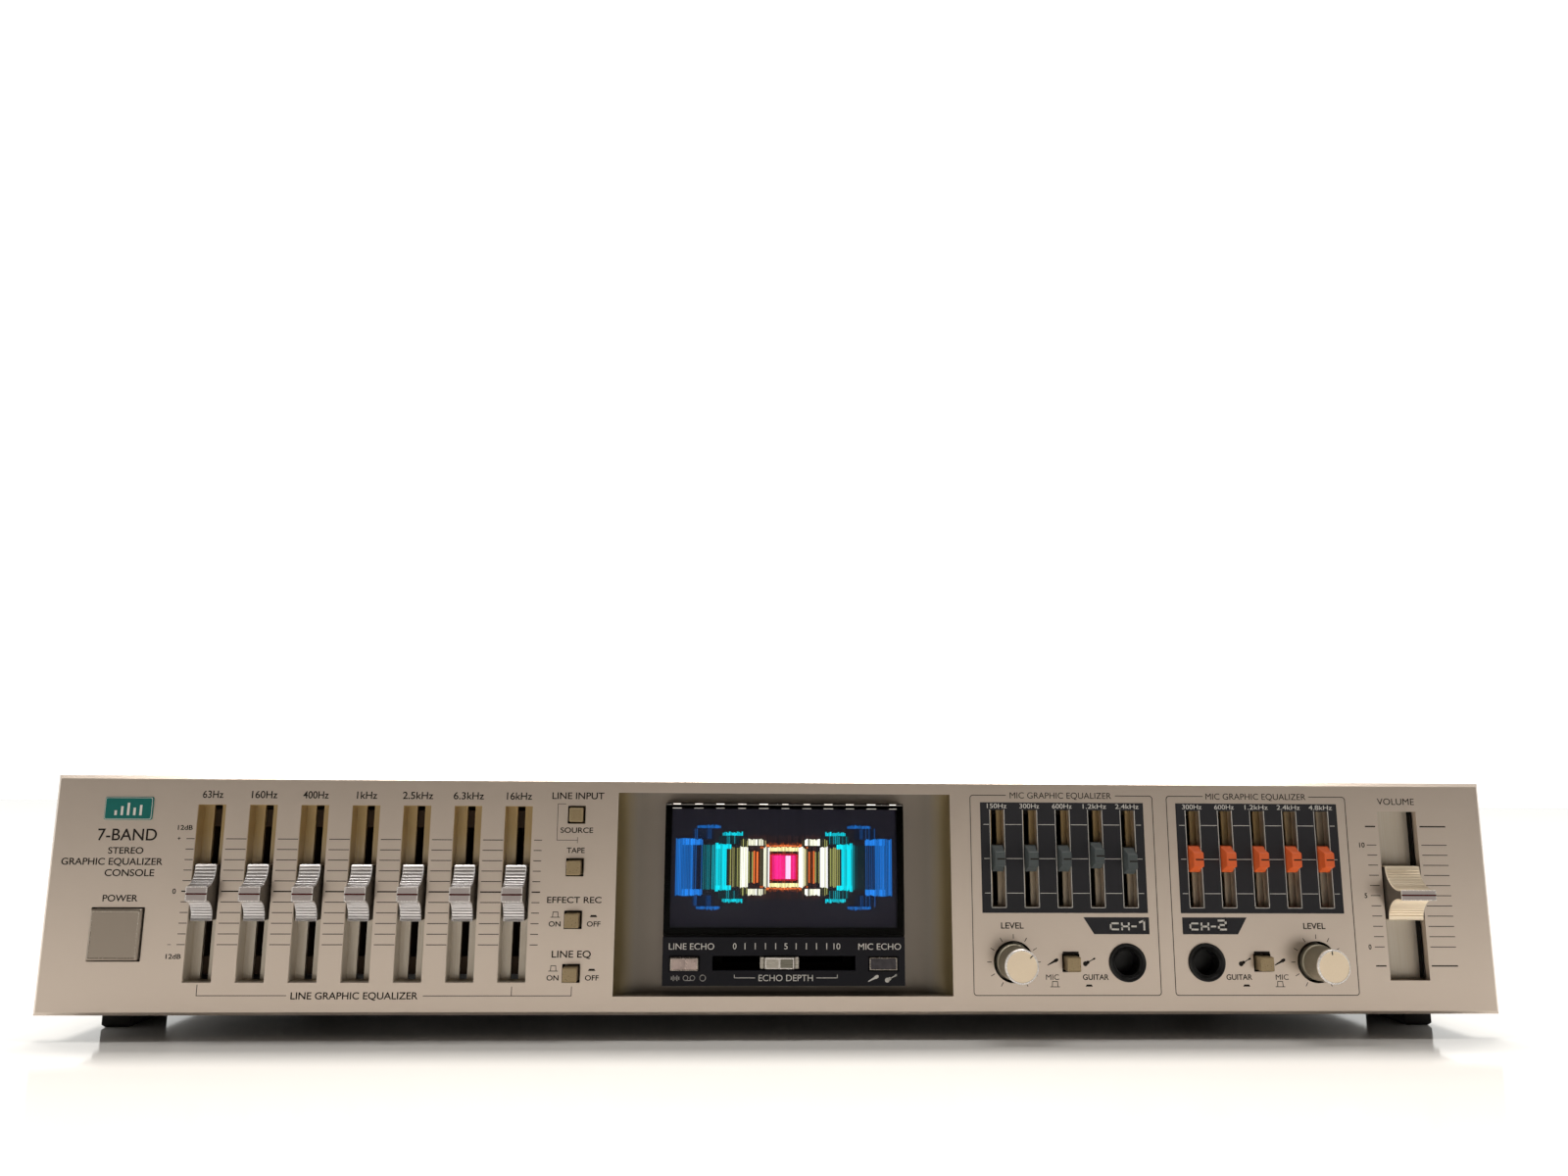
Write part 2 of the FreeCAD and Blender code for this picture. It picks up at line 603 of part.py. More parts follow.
def mains_gland():
    """Moulded bush that carries the mains cord through the rear panel."""
    neck = rod(*GLAND_XZ, GLAND_NECK_R, REAR_Y - 5, BODY_DEPTH)
    x, z = GLAND_XZ
    base = BODY_DEPTH + GLAND_FLANGE[1]
    flange = rod(x, z, GLAND_FLANGE[0], BODY_DEPTH, base)
    nose = Part.makeCone(*GLAND_NOSE, V(x, base, z), V(0, 1, 0))
    return fuse(neck, flange, nose).cut(rod(x, z, GLAND_BORE_R, REAR_Y - 6, base + 7))


def top_cover():
    """Steel cover: top, two sides and a rear lip, with two fields of cooling slots."""
    back = REAR_Y
    outer = box(-COVER_HALF, COVER_HALF, PANEL_THICK, back, PAN_BOTTOM + 0.6, COVER_TOP)
    inner = box(-PAN_HALF, PAN_HALF, 0, back + 1, 0, COVER_TOP - COVER_SHEET)
    lip = box(-PAN_HALF, PAN_HALF, back - SHEET, back, COVER_TOP - COVER_SHEET - LIP_HEIGHT,
              COVER_TOP - COVER_SHEET)
    cover = fuse(outer.cut(inner), lip)
    lefts = [x + i * COVER_VENT_PITCH for x in COVER_VENT_X for i in range(COVER_VENT_COUNT)]
    vents = [box(x, x + COVER_VENT_WIDTH, *COVER_VENT_Y, COVER_TOP - 3, COVER_TOP + 1)
             for x in lefts]
    holes = [rod(x, LIP_SCREW_Z, SCREW_HOLE_R, back - 3, back + 1) for x in LIP_SCREW_X]
    return cut(cover, vents + holes + cover_screw_holes(COVER_HALF))


def cover_screws():
    """Four machine screws through the cover's sides into the pan."""
    screws = [cover_screw(y) for y in COVER_SCREW_Y]
    return screws + [screw.mirror(V(0, 0, 0), V(1, 0, 0)) for screw in screws]


def cover_screw(y):
    """A slotted round-headed screw on the right side."""
    radius, height = COVER_SCREW_HEAD
    length, width = COVER_SCREW_SLOT
    z, face = COVER_SCREW_Z, COVER_HALF + height
    head = pin_x(y, z, radius, COVER_HALF, face)
    head = head.makeFillet(0.8, edges_where(head, lambda b: b.XMin > face - 0.01))
    slot = box(face - width, face + 1, y - length / 2, y + length / 2, z - width / 2, z + width / 2)
    return fuse(head.cut(slot), pin_x(y, z, COVER_SCREW_R, COVER_HALF - 8, COVER_HALF))


def case_screws():
    """Rear panel screws and foot screws, all alike."""
    screws = []
    back = BODY_DEPTH + SCREW_HEAD
    for x, z in rear_screw_places():
        head = rod(x, z, SCREW_HEAD_R, BODY_DEPTH, back)
        head = head.makeFillet(0.7, edges_where(head, lambda b: b.YMin > back - 0.01))
        screws.append(fuse(head, rod(x, z, SCREW_R, BODY_DEPTH - SCREW_REACH, BODY_DEPTH)))
    for x, y in foot_places():
        head = post(x, y, SCREW_HEAD_R, FOOT_WELL_TOP - SCREW_HEAD, FOOT_WELL_TOP)
        screws.append(fuse(head, post(x, y, SCREW_R, FOOT_WELL_TOP, SCREW_REACH)))
    return screws


def foot_places():
    return [(side * FOOT_X, y) for side in (-1, 1) for y in FOOT_Y]


def upright(x, y, width, depth, z0, z1):
    """A box centred on (x, y), from z0 to z1."""
    return box(x - width / 2, x + width / 2, y - depth / 2, y + depth / 2, z0, z1)


def foot(x, y):
    """A moulded foot: a flange against the pan, a block below it, and a screw well."""
    width, depth = FOOT_SIZE
    flange = upright(x, y, width + 2 * FOOT_BRIM, depth + 2 * FOOT_BRIM, 0, PAN_BOTTOM)
    pad = upright(x, y, width, depth, -FOOT_HEIGHT, 0)
    pad = pad.makeChamfer(FOOT_CHAMFER, edges_where(pad, lambda b: b.ZMax < 0.01 - FOOT_HEIGHT))
    well = post(x, y, FOOT_WELL_R, -FOOT_HEIGHT - 1, FOOT_WELL_TOP)
    hole = post(x, y, SCREW_HOLE_R, FOOT_WELL_TOP - 1, PAN_BOTTOM + 1)
    return cut(fuse(flange, pad), [well, hole])


# ---- inside --------------------------------------------------------------------------------
def transformer_core():
    """Laminated core with two windows, standing on the pan."""
    x, y = CORE_AT
    width, depth, height = CORE
    tab_width, tab_depth, tab_height = CORE_TAB
    offset, window = CORE_WINDOW
    z0 = PAN_FLOOR
    core = upright(x, y, width, depth, z0, z0 + height)
    tabs = [upright(x + s * width / 2, y, tab_width, tab_depth, z0, z0 + tab_height)
            for s in (-1, 1)]
    windows = [upright(x + s * offset, y, window, 2 * depth, z0 + CORE_YOKE,
                       z0 + height - CORE_YOKE) for s in (-1, 1)]
    return cut(fuse(core, *tabs), windows)


def transformer_winding():
    """Winding round the core's middle leg: it fills both windows and stands out each side."""
    x, y = CORE_AT
    depth, height = CORE[1], CORE[2]
    offset, window = CORE_WINDOW
    z0, z1 = PAN_FLOOR + CORE_YOKE, PAN_FLOOR + height - CORE_YOKE
    outer = upright(x, y, 2 * WINDING_HALF, depth + 2 * WINDING_PROUD, z0, z1)
    outer = outer.makeFillet(3, edges_where(outer, lambda b: b.ZLength > 20))
    return outer.cut(upright(x, y, 2 * offset - window, depth, z0 - 1, z1 + 1))


def main_board():
    return box(*BOARD_X, *BOARD_Y, BOARD_Z, BOARD_Z + BOARD_THICK)


def board_parts():
    """Capacitors, integrated circuits, a heat sink and cable headers on the main board."""
    top = BOARD_Z + BOARD_THICK
    parts = [post(x, 190, 8.0, top, top + 30) for x in (-30, -8)]
    parts += [post(x, y, 3.2, top, top + 11) for x in range(20, 133, 14) for y in (95, 150)]
    parts += [box(x, x + 20, 118, 125, top, top + 4) for x in range(15, 146, 26)]
    parts += [box(x, x + 30, 70, 76, top, top + 8) for x in (-30, 20, 90, 140)]
    fins = [box(30, 60, y, y + 2, top, top + 25) for y in (180, 186, 192, 198)]
    return parts + [fuse(box(30, 33, 180, 200, top, top + 25), *fins)]


# ---- write every node ------------------------------------------------------------------------
def save_fixed():
    save("front_panel", [front_panel()])
    save("inner_plate", [inner_plate()])
    save("badge_plate", [badge_plate()])
    save("display_surround", [display_surround()])
    save("display_housing", [display_housing()])
    save("display_window", [display_window()])
    save("display_screen", [display_screen()])
    save("display_lamps", display_lamps())
    save("echo_fascia", [echo_fascia()])
    save("chassis_pan", [chassis_pan()])
    save("rear_panel", [rear_panel()])
    save("top_cover", [top_cover()])
    save("level_pots", [level_pot(*xz) for xz in LEVEL_XZ.values()])
    save("mic_jacks", [mic_jack(*xz) for xz in JACK_XZ.values()])
    save("push_switches", push_switches())
    save("power_switch", [power_switch()])
    save("transformer_core", [transformer_core()])
    save("transformer_winding", [transformer_winding()])
    save("main_board", [main_board()])
    save("board_parts", board_parts())
    save("phono_block", [phono_block()])
    save("phono_sockets", [phono_socket(x, z) for x, z in phono_places()])
    save("mains_gland", [mains_gland()])
    save("feet", [foot(x, y) for x, y in foot_places()])
    save("cover_screws", cover_screws())
    save("case_screws", case_screws())


def save_slide_pots():
    save("line_slide_pots", [slide_pot(line_x(i), LINE_Z, 9.0, SLIDE_TRAVEL, LINE_LEVER)
                             for i in range(LINE_COUNT)])
    save("mic_slide_pots", [slide_pot(mic_x(channel, i), MIC_Z, 8.0, MIC_TRAVEL, MIC_LEVER)
                            for channel in MIC_CENTRE_X for i in range(MIC_COUNT)])
    save("volume_slide_pot", [slide_pot(VOLUME_LEVER_X, VOLUME_Z, 9.0, SLIDE_TRAVEL, LINE_LEVER)])
    save("echo_slide_pot", [echo_slide_pot()])


def save_sliders():
    for i in range(LINE_COUNT):
        x = line_x(i)
        save("line_slider_%d" % (i + 1),
             [ridge_knob(x, LINE_Z, LINE_KNOB, LINE_RIDGE), lever(x, LINE_Z, LINE_LEVER)])
    for channel, rests in MIC_REST.items():
        for i, rest in enumerate(rests):
            x, z = mic_x(channel, i), MIC_Z + rest
            save("%s_slider_%d" % (channel, i + 1), [mic_knob(x, z), lever(x, z, MIC_LEVER)])
    z = VOLUME_Z + VOLUME_REST
    save("volume_slider", [ridge_knob(VOLUME_X, z, VOLUME_KNOB, VOLUME_RIDGE),
                           lever(VOLUME_LEVER_X, z, LINE_LEVER)])
    save("echo_slider", [echo_knob(), lever(ECHO_REST, ECHO_Z, ECHO_LEVER, LEVER_TIP + 2)])


def save_knobs_and_buttons():
    for channel, (x, z) in LEVEL_XZ.items():
        save("level_knob_" + channel, [level_knob(x, z, LEVEL_REST_DEG[channel]),
                                       rod(x, z, LEVEL_SHAFT_R, LEVEL_BACK, 13.0)])
    for name, x, z in small_buttons():
        save(name, [button(x, z, BUTTON_TRAVEL if name in PRESSED else 0.0)])
    for name, x in echo_buttons():
        save(name, [echo_button(x, ECHO_TRAVEL if name in PRESSED else 0.0)])
    save("power_button", [power_button()])


os.makedirs("parts", exist_ok=True)
save_fixed()
save_slide_pots()
save_sliders()
save_knobs_and_buttons()
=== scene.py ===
import math
import random

import bmesh
import bpy
from mathutils import Matrix, Vector

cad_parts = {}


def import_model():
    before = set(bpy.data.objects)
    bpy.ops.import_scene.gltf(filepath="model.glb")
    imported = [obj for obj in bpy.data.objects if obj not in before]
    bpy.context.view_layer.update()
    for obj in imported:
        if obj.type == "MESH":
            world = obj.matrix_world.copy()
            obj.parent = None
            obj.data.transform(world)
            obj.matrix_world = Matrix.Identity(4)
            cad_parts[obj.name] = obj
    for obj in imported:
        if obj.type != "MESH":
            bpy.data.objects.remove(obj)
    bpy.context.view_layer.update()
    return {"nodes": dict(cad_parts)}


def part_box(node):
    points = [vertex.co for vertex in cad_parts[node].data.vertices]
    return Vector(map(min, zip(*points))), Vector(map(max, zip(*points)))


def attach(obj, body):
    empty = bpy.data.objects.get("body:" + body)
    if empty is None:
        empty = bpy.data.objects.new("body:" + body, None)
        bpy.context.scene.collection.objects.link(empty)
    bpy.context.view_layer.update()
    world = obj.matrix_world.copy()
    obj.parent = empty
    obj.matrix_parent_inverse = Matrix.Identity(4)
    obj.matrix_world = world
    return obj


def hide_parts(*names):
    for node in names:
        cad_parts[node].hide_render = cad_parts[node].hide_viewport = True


# A graphic equalizer dressed round its CAD frame. Layout sizes on the panel are in
# millimetres from the panel's own middle and bottom edge, and at() turns them into metres.

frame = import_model()
MM = 0.001
PANEL_LOW, PANEL_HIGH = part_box("front_panel")
ORIGIN = Vector(((PANEL_LOW.x + PANEL_HIGH.x) / 2, PANEL_LOW.y, PANEL_LOW.z))
CHASSIS = "chassis"
CHANNELS = ("ch1", "ch2")
LINE_NODES = ["line_slider_%d" % (i + 1) for i in range(7)]
MIC_NODES = {c: ["%s_slider_%d" % (c, i + 1) for i in range(5)] for c in CHANNELS}
SMALL_BUTTONS = ("source_button", "tape_button", "effect_rec_button", "line_eq_button",
                 "mode_button_ch1", "mode_button_ch2")


def at(x, y, z):
    """A place on the panel in millimetres: x to the right, y behind its face, z up."""
    return ORIGIN + Vector((x, y, z)) * MM


def rotation(degrees, axis):
    return Matrix.Rotation(math.radians(degrees), 4, axis)


def local_box(node):
    """A node's lowest and highest corners in panel millimetres."""
    low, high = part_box(node)
    return (low - ORIGIN) / MM, (high - ORIGIN) / MM


def face_of(node):
    """A node's middle x and z, width, height and front, in panel millimetres."""
    low, high = local_box(node)
    return (low.x + high.x) / 2, (low.z + high.z) / 2, high.x - low.x, high.z - low.z, low.y


def middle_xz(node):
    return face_of(node)[:2]


def centre_x(node):
    return face_of(node)[0]


def new_object(name, data):
    """An object that shows the data in the scene."""
    obj = bpy.data.objects.new(name, data)
    bpy.context.scene.collection.objects.link(obj)
    return obj


# ---- materials ----
FINE_DEPTH = 0.00002             # metres of relief in a fine grain


class Nodes:
    """A short way to write the node tree of a material or a world."""

    def __init__(self, owner, shader="Principled BSDF", space="Object"):
        owner.use_nodes = True
        self.owner = owner
        self.tree = owner.node_tree
        self.shader = self.tree.nodes[shader]
        self.place = self.add("ShaderNodeTexCoord").outputs[space]

    def add(self, kind, **values):
        node = self.tree.nodes.new(kind)
        for key, value in values.items():
            setattr(node, key, value)
        return node

    def link(self, source, target):
        self.tree.links.new(source, target)

    def feed(self, name, source):
        self.link(source, self.shader.inputs[name])

    def axes(self):
        split = self.add("ShaderNodeSeparateXYZ")
        self.link(self.place, split.inputs["Vector"])
        return split.outputs

    def noise(self, scale, detail, stretch=(1, 1, 1)):
        mapping = self.add("ShaderNodeMapping")
        mapping.inputs["Scale"].default_value = stretch
        self.link(self.place, mapping.inputs["Vector"])
        noise = self.add("ShaderNodeTexNoise")
        noise.inputs["Scale"].default_value = scale
        noise.inputs["Detail"].default_value = detail
        self.link(mapping.outputs["Vector"], noise.inputs["Vector"])
        return noise.outputs["Fac"]

    def spread(self, source, low, high, start=0.3, end=0.7):
        spread = self.add("ShaderNodeMapRange")
        for key, value in (("From Min", start), ("From Max", end),
                           ("To Min", low), ("To Max", high)):
            spread.inputs[key].default_value = value
        self.link(source, spread.inputs["Value"])
        return spread.outputs["Result"]

    def tint(self, factor, first, second):
        mix = self.add("ShaderNodeMix", data_type="RGBA")
        mix.inputs["A"].default_value = (*first, 1)
        mix.inputs["B"].default_value = (*second, 1)
        self.link(factor, mix.inputs["Factor"])
        return mix.outputs["Result"]

    def combine(self, operation, *sources):
        result = self.add("ShaderNodeMath", operation=operation)
        for source, target in zip(sources, result.inputs):
            self.link(source, target)
        return result.outputs[0]

    def bump(self, height, strength, distance):
        bump = self.add("ShaderNodeBump")
        bump.inputs["Strength"].default_value = strength
        bump.inputs["Distance"].default_value = distance
        self.link(height, bump.inputs["Height"])
        self.feed("Normal", bump.outputs["Normal"])

    def set(self, **values):
        for key, value in values.items():
            self.shader.inputs[key.replace("_", " ")].default_value = value


def surface(name):
    return Nodes(bpy.data.materials.new(name))


def shade(colour, factor):
    return tuple(min(1.0, c * factor) for c in colour)


def finish(name, colour, rough=0.5, metal=0.0, grain=1500, stretch=(1, 1, 1), relief=0.15,
           depth=FINE_DEPTH, vary=0.08, rough_vary=0.08, patch=25, gloss=0.5):
    """A surface with large soft tone patches, a fine grain, and roughness that follows the grain.
    """
    m = surface(name)
    patches = m.noise(patch, 4.0)
    fine = m.noise(grain, 5.0, stretch)
    blend = m.combine("ADD", m.spread(patches, 0.0, 0.6), m.spread(fine, 0.0, 0.4))
    m.feed("Base Color", m.tint(blend, shade(colour, 1 - vary), shade(colour, 1 + vary)))
    low, high = max(0.02, rough - rough_vary), min(1.0, rough + rough_vary)
    m.feed("Roughness", m.spread(fine, low, high))
    m.bump(fine, relief, depth)
    m.set(Metallic=metal, Specular_IOR_Level=gloss)
    MATERIALS[name] = m.owner


def light_screen():
    """A lit line screen: each bar carries its own colour, broken by fine upright streaks."""
    m = surface("light_screen")
    paint = m.add("ShaderNodeAttribute", attribute_name=LIGHT_LAYER)
    streak = m.spread(m.noise(1.0, 2.0, (1800, 40, 25)), 0.6, 1.0)
    scaled = m.add("ShaderNodeVectorMath", operation="SCALE")
    m.link(paint.outputs["Color"], scaled.inputs["Vector"])
    m.link(streak, scaled.inputs["Scale"])
    m.feed("Emission Color", scaled.outputs["Vector"])
    m.set(Emission_Strength=LIGHT_STRENGTH, Roughness=0.5, Base_Color=(0.01, 0.01, 0.01, 1))
    return m.owner


def smoked_acrylic():
    m = surface("smoked_acrylic")
    haze = m.noise(60, 3.0)
    m.feed("Roughness", m.spread(haze, 0.015, 0.05))
    m.feed("Base Color", m.tint(haze, (0.50, 0.50, 0.54), (0.54, 0.54, 0.58)))
    m.set(Transmission_Weight=1.0, IOR=1.15)
    return m.owner


def plated_steel():
    """Plated steel with a painted olive shade and reflection on its upper part, fading to plain
    silver lower down and to the far right.
    """
    m = surface("plated_steel")
    place = m.axes()
    fine = m.noise(2600, 5.0, BRUSHED_Z)
    # Painted shade and reflection: an olive-brown tint on the upper part, off lower down and toward
    # the far right.
    left = m.spread(place["X"], 1.0, 0.0, 0.150, 0.175)
    painted_olive_shade = m.combine("MULTIPLY", m.spread(place["Z"], 0.0, 0.9, 0.036, 0.060), left)
    blend = m.combine("ADD", painted_olive_shade, m.spread(fine, 0.0, 0.25))
    m.feed("Base Color", m.tint(blend, (0.56, 0.51, 0.44), (0.42, 0.30, 0.14)))
    m.feed("Roughness", m.spread(fine, 0.30, 0.46))
    m.bump(fine, 0.2, FINE_DEPTH)
    m.set(Metallic=0.45)
    return m.owner


def coved_champagne():
    """Champagne lacquer with painted shade and reflection across each cove: darker from 37.5 to
    43.5 mm out from the middle, turning olive-gold from 44.5 to 48.5 mm.
    """
    m = surface("coved_champagne")
    away = m.combine("ABSOLUTE", m.axes()["X"])
    # Painted shade: darker from 37.5 to 43.5 mm out from the middle.
    painted_cove_shade = m.tint(m.spread(away, 0.0, 1.0, 0.0375, 0.0435), (0.29, 0.25, 0.21),
                  (0.22, 0.19, 0.155))
    # The olive-gold outer band of each cove is painted reflection.
    edge = m.add("ShaderNodeMix", data_type="RGBA")
    edge.inputs["B"].default_value = (0.23, 0.175, 0.085, 1)
    m.link(m.spread(away, 0.0, 1.0, 0.0445, 0.0485), edge.inputs["Factor"])
    m.link(painted_cove_shade, edge.inputs["A"])
    m.feed("Base Color", edge.outputs["Result"])
    fine = m.noise(3000, 4.0)
    m.feed("Roughness", m.spread(fine, 0.34, 0.46))
    m.bump(fine, 0.03, FINE_DEPTH)
    m.set(Metallic=0.35)
    return m.owner


BRUSHED_X = (0.04, 1, 1)
BRUSHED_Z = (1, 1, 0.02)
LIGHT_LAYER = "light"
LIGHT_STRENGTH = 3.0
MATERIALS = {"plate": plated_steel(), "surround": coved_champagne(),
             "glass": smoked_acrylic(), "light": light_screen()}
finish("panel", (0.63, 0.54, 0.463), 0.31, 0.85, 5200, BRUSHED_X, 0.035, 1e-05, 0.02, 0.03, patch=9)
finish("teal", (0.003, 0.125, 0.11), 0.4, 0.1, 900, relief=0.05, gloss=0.3)
finish("black", (0.01, 0.01, 0.011), 0.5, 0, 2500, relief=0.2, gloss=0.25)
finish("jack", (0.006, 0.006, 0.006), 0.38, 0, 2500, relief=0.1, gloss=0.3)
finish("fascia", (0.008, 0.008, 0.012), 0.4, 0, 3000, relief=0.05, gloss=0.15)
finish("screen", (0.022, 0.02, 0.032), 0.4, 0, 900, relief=0, gloss=0.05)
finish("lamp", (0.5, 0.46, 0.33), 0.5, 0, 900)
finish("ink", (0.014, 0.01, 0.008), 0.6, 0, 3000, relief=0.1, gloss=0.2)
finish("plate_ink", (0.024, 0.024, 0.028), 0.5, 0, 3500, relief=0.1, gloss=0.15)
finish("white_ink", (0.62, 0.6, 0.56), 0.6, 0, 3000, relief=0.1)
finish("silver", (0.6, 0.58, 0.58), 0.3, 0.85, 2400, BRUSHED_X, 0.05, 1e-05, 0.22, 0.02)
finish("side", (0.12, 0.1, 0.08), 0.45, 0.4, 2500, relief=0.3)
finish("cream", (0.86, 0.74, 0.57), 0.36, 0.6, 3200, BRUSHED_X, 0.2, 2e-05, 0.06, 0.04)
finish("knob", (0.86, 0.72, 0.54), 0.34, 0.65, 2600, vary=0.04, rough_vary=0.04)
finish("knob_side", (0.36, 0.325, 0.245), 0.38, 0.7, 2600, relief=0.2)
finish("red", (0.06, 0.004, 0.004), 0.5, 0, 2000, gloss=0.2)
finish("green", (0.07, 0.084, 0.086), 0.42, 0, 2200, relief=0.2, gloss=0.35)
finish("orange", (0.72, 0.125, 0.03), 0.42, 0, 2200, gloss=0.35)
finish("beige", (0.33, 0.25, 0.14), 0.33, 0.55, 2600, relief=0.12)
finish("power", (0.33, 0.28, 0.23), 0.32, 0.75, 5200, BRUSHED_X, 0.04, vary=0.03, rough_vary=0.03)
# Light metal for the bevel rims round the caps: painted highlight.
finish("edge", (0.66, 0.6, 0.52), 0.24, 0.9, 2600, relief=0.1)
# Lighter silver for ridge outlines, knob chamfers and grip frames: painted highlight.
finish("painted_highlight", (0.8, 0.76, 0.73), 0.25, 0.35, 2600, relief=0.05, vary=0.04)
finish("cover", (0.2, 0.185, 0.165), 0.45, 0.35, 1400, relief=0.4)
finish("rear", (0.045, 0.045, 0.048), 0.55, 0.1, 1600, relief=0.4)
finish("pan", (0.035, 0.031, 0.026), 0.5, 0.3, 1500, relief=0.3)
finish("zinc", (0.48, 0.47, 0.44), 0.38, 0.85, 700, vary=0.15)
finish("rubber", (0.01, 0.009, 0.008), 0.62, 0, 1800, relief=0.3, gloss=0.2)
finish("screw", (0.05, 0.05, 0.05), 0.35, 0.8, 2500)
finish("nickel", (0.66, 0.63, 0.57), 0.2, 1, 1200, relief=0.05)
finish("white_plastic", (0.7, 0.68, 0.63), 0.45, 0, 1500)
finish("red_plastic", (0.45, 0.02, 0.02), 0.4, 0, 1500)
finish("iron", (0.07, 0.065, 0.06), 0.45, 0.6, 900, (1, 40, 1), 0.4)
finish("tape", (0.55, 0.36, 0.06), 0.4, 0, 1200)
finish("board", (0.17, 0.09, 0.035), 0.5, 0, 1200)
finish("parts", (0.05, 0.06, 0.09), 0.4, 0, 1500)
finish("deep", (0.006, 0.005, 0.004), 0.7, 0, 1500, gloss=0.1)
# Dark brown for the line pots seen through their lever slots: painted shade.
finish("track_painted_shade", (0.03, 0.018, 0.01), 0.6, 0, 1500, gloss=0.1)
finish("ridge", (0.4, 0.355, 0.345), 0.36, 0.5, 3600, BRUSHED_X, 0.1, vary=0.04)
finish("rose_silver", (0.42, 0.33, 0.3), 0.22, 0.6, 900, relief=0.3, vary=0.35, patch=420)
# The mic echo cap's dark tone is a painted reflection of dark surroundings.
finish("silver_painted_dark", (0.035, 0.03, 0.035), 0.14, 0.4, 900, vary=0.5, patch=500)
finish("pad_left", (0.4, 0.37, 0.32), 0.3, 0.6, 2600, BRUSHED_X, 0.1)
finish("pad_right", (0.17, 0.16, 0.125), 0.3, 0.6, 2600, BRUSHED_X, 0.1)

CAD_FINISH = {
    "inner_plate": "plate", "display_lamps": "lamp", "level_pots": "zinc", "push_switches": "black",
    "power_switch": "black", "transformer_core": "iron", "transformer_winding": "tape",
    # The slide pots are painted near-black and dark brown so the lever slots read dark: painted
    # shade.
    "main_board": "board", "board_parts": "parts", "line_slide_pots": "track_painted_shade",
    "mic_slide_pots": "deep", "volume_slide_pot": "deep", "echo_slide_pot": "deep",
}


def paint_cad():
    """Gives each CAD node that stays its own finish."""
    for node, key in CAD_FINISH.items():
        mesh = frame["nodes"][node].data
        mesh.materials.clear()
        mesh.materials.append(MATERIALS[key])


# ---- mesh helpers ----
SMOOTH_LIMIT = math.radians(32)  # a sharper edge than this stays sharp


def soften(bm):
    """Smooth shading, with sharp edges kept sharp and broad flat faces kept flat."""
    bmesh.ops.recalc_face_normals(bm, faces=bm.faces)
    for edge in bm.edges:
        edge.smooth = len(edge.link_faces) == 2 and edge.calc_face_angle(0.0) < SMOOTH_LIMIT
    widths = {face: face.calc_area() / max(edge.calc_length() for edge in face.edges)
              for face in bm.faces}
    for face in bm.faces:
        beside = [widths[other] for edge in face.edges
                  if edge.smooth and edge.calc_face_angle(0.0) > 0.01
                  for other in edge.link_faces if other is not face]
        face.smooth = bool(beside) and widths[face] < 3 * max(beside)


def mesh_object(name, bm, material):
    mesh = bpy.data.meshes.new(name)
    bm.to_mesh(mesh)
    bm.free()
    mesh.materials.append(material)
    return new_object(name, mesh)


def piece(name, bm, key, body=CHASSIS, node=None):
    """Turns a mesh in metres into a piece of the object."""
    soften(bm)
    obj = mesh_object(name, bm, MATERIALS[key])
    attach(obj, body)
    if node:
        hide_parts(node)


def loft(bm, rings, closed=True):
    """Joins rings of equal length into a skin, with a face over each end."""
    rows = [[bm.verts.new(p) for p in ring] for ring in rings]
    count = len(rows[0])
    for first, second in zip(rows, rows[1:]):
        for i in range(count):
            j = (i + 1) % count
            bm.faces.new((first[i], first[j], second[j], second[i]))
    if closed:
        bm.faces.new(rows[0])
        bm.faces.new(list(reversed(rows[-1])))


def closed_loft(bm, rings):
    """Joins rings and then the last to the first, as round a torus."""
    loft(bm, rings + [rings[0]], closed=False)
    bmesh.ops.remove_doubles(bm, verts=bm.verts, dist=1e-7)


CORNER_STEPS = 4


def rounded(x, y, z, width, height, radius):
    """A ring in the shape of a rounded rectangle."""
    points = []
    for k, (sx, sz) in enumerate(((1, 1), (-1, 1), (-1, -1), (1, -1))):
        for s in range(CORNER_STEPS + 1):
            angle = math.radians(90 * k + 90 * s / CORNER_STEPS)
            px = sx * (width / 2 - radius) + radius * math.cos(angle)
            pz = sz * (height / 2 - radius) + radius * math.sin(angle)
            points.append(at(x + px, y, z + pz))
    return points


def slab(bm, x, z, levels, radius):
    """A rounded rectangular body; levels are (y, width, height) from front to back."""
    loft(bm, [rounded(x, y, z, width, height, min(radius, width / 2.01, height / 2.01))
              for y, width, height in levels])


def turned(x, z, profile, steps, ribs=None):
    """Rings about Y through (radius, y) points; ribs(radius, y, angle) alters the radius."""
    rings = []
    for radius, y in profile:
        ring = []
        for i in range(steps):
            angle = 2 * math.pi * i / steps
            r = ribs(radius, y, angle) if ribs else radius
            ring.append(at(x + r * math.sin(angle), y, z + r * math.cos(angle)))
        rings.append(ring)
    return rings


def turn(bm, degrees, axis, centre):
    """Turns a whole mesh about a centre in metres."""
    bmesh.ops.rotate(bm, cent=centre, matrix=rotation(degrees, axis), verts=bm.verts)


def lathe(bm, *shape):
    """A solid body turned about Y."""
    loft(bm, turned(*shape))


def bar(bm, x0, x1, y0, y1, z0, z1):
    """A plain box."""
    corners = [(x0, z0), (x1, z0), (x1, z1), (x0, z1)]
    loft(bm, [[at(x, y, z) for x, z in corners] for y in (y0, y1)])


def thin_frame(bm, x, z, width, height, line, y0, y1, radius=0.25):
    """A raised rectangular line that closes on itself."""
    outer = (width, height, radius)
    inner = (width - 2 * line, height - 2 * line, max(0.05, radius - line / 2))
    closed_loft(bm, [rounded(x, y, z, *size) for size, y in
                     ((outer, y1), (outer, y0), (inner, y0), (inner, y1))])


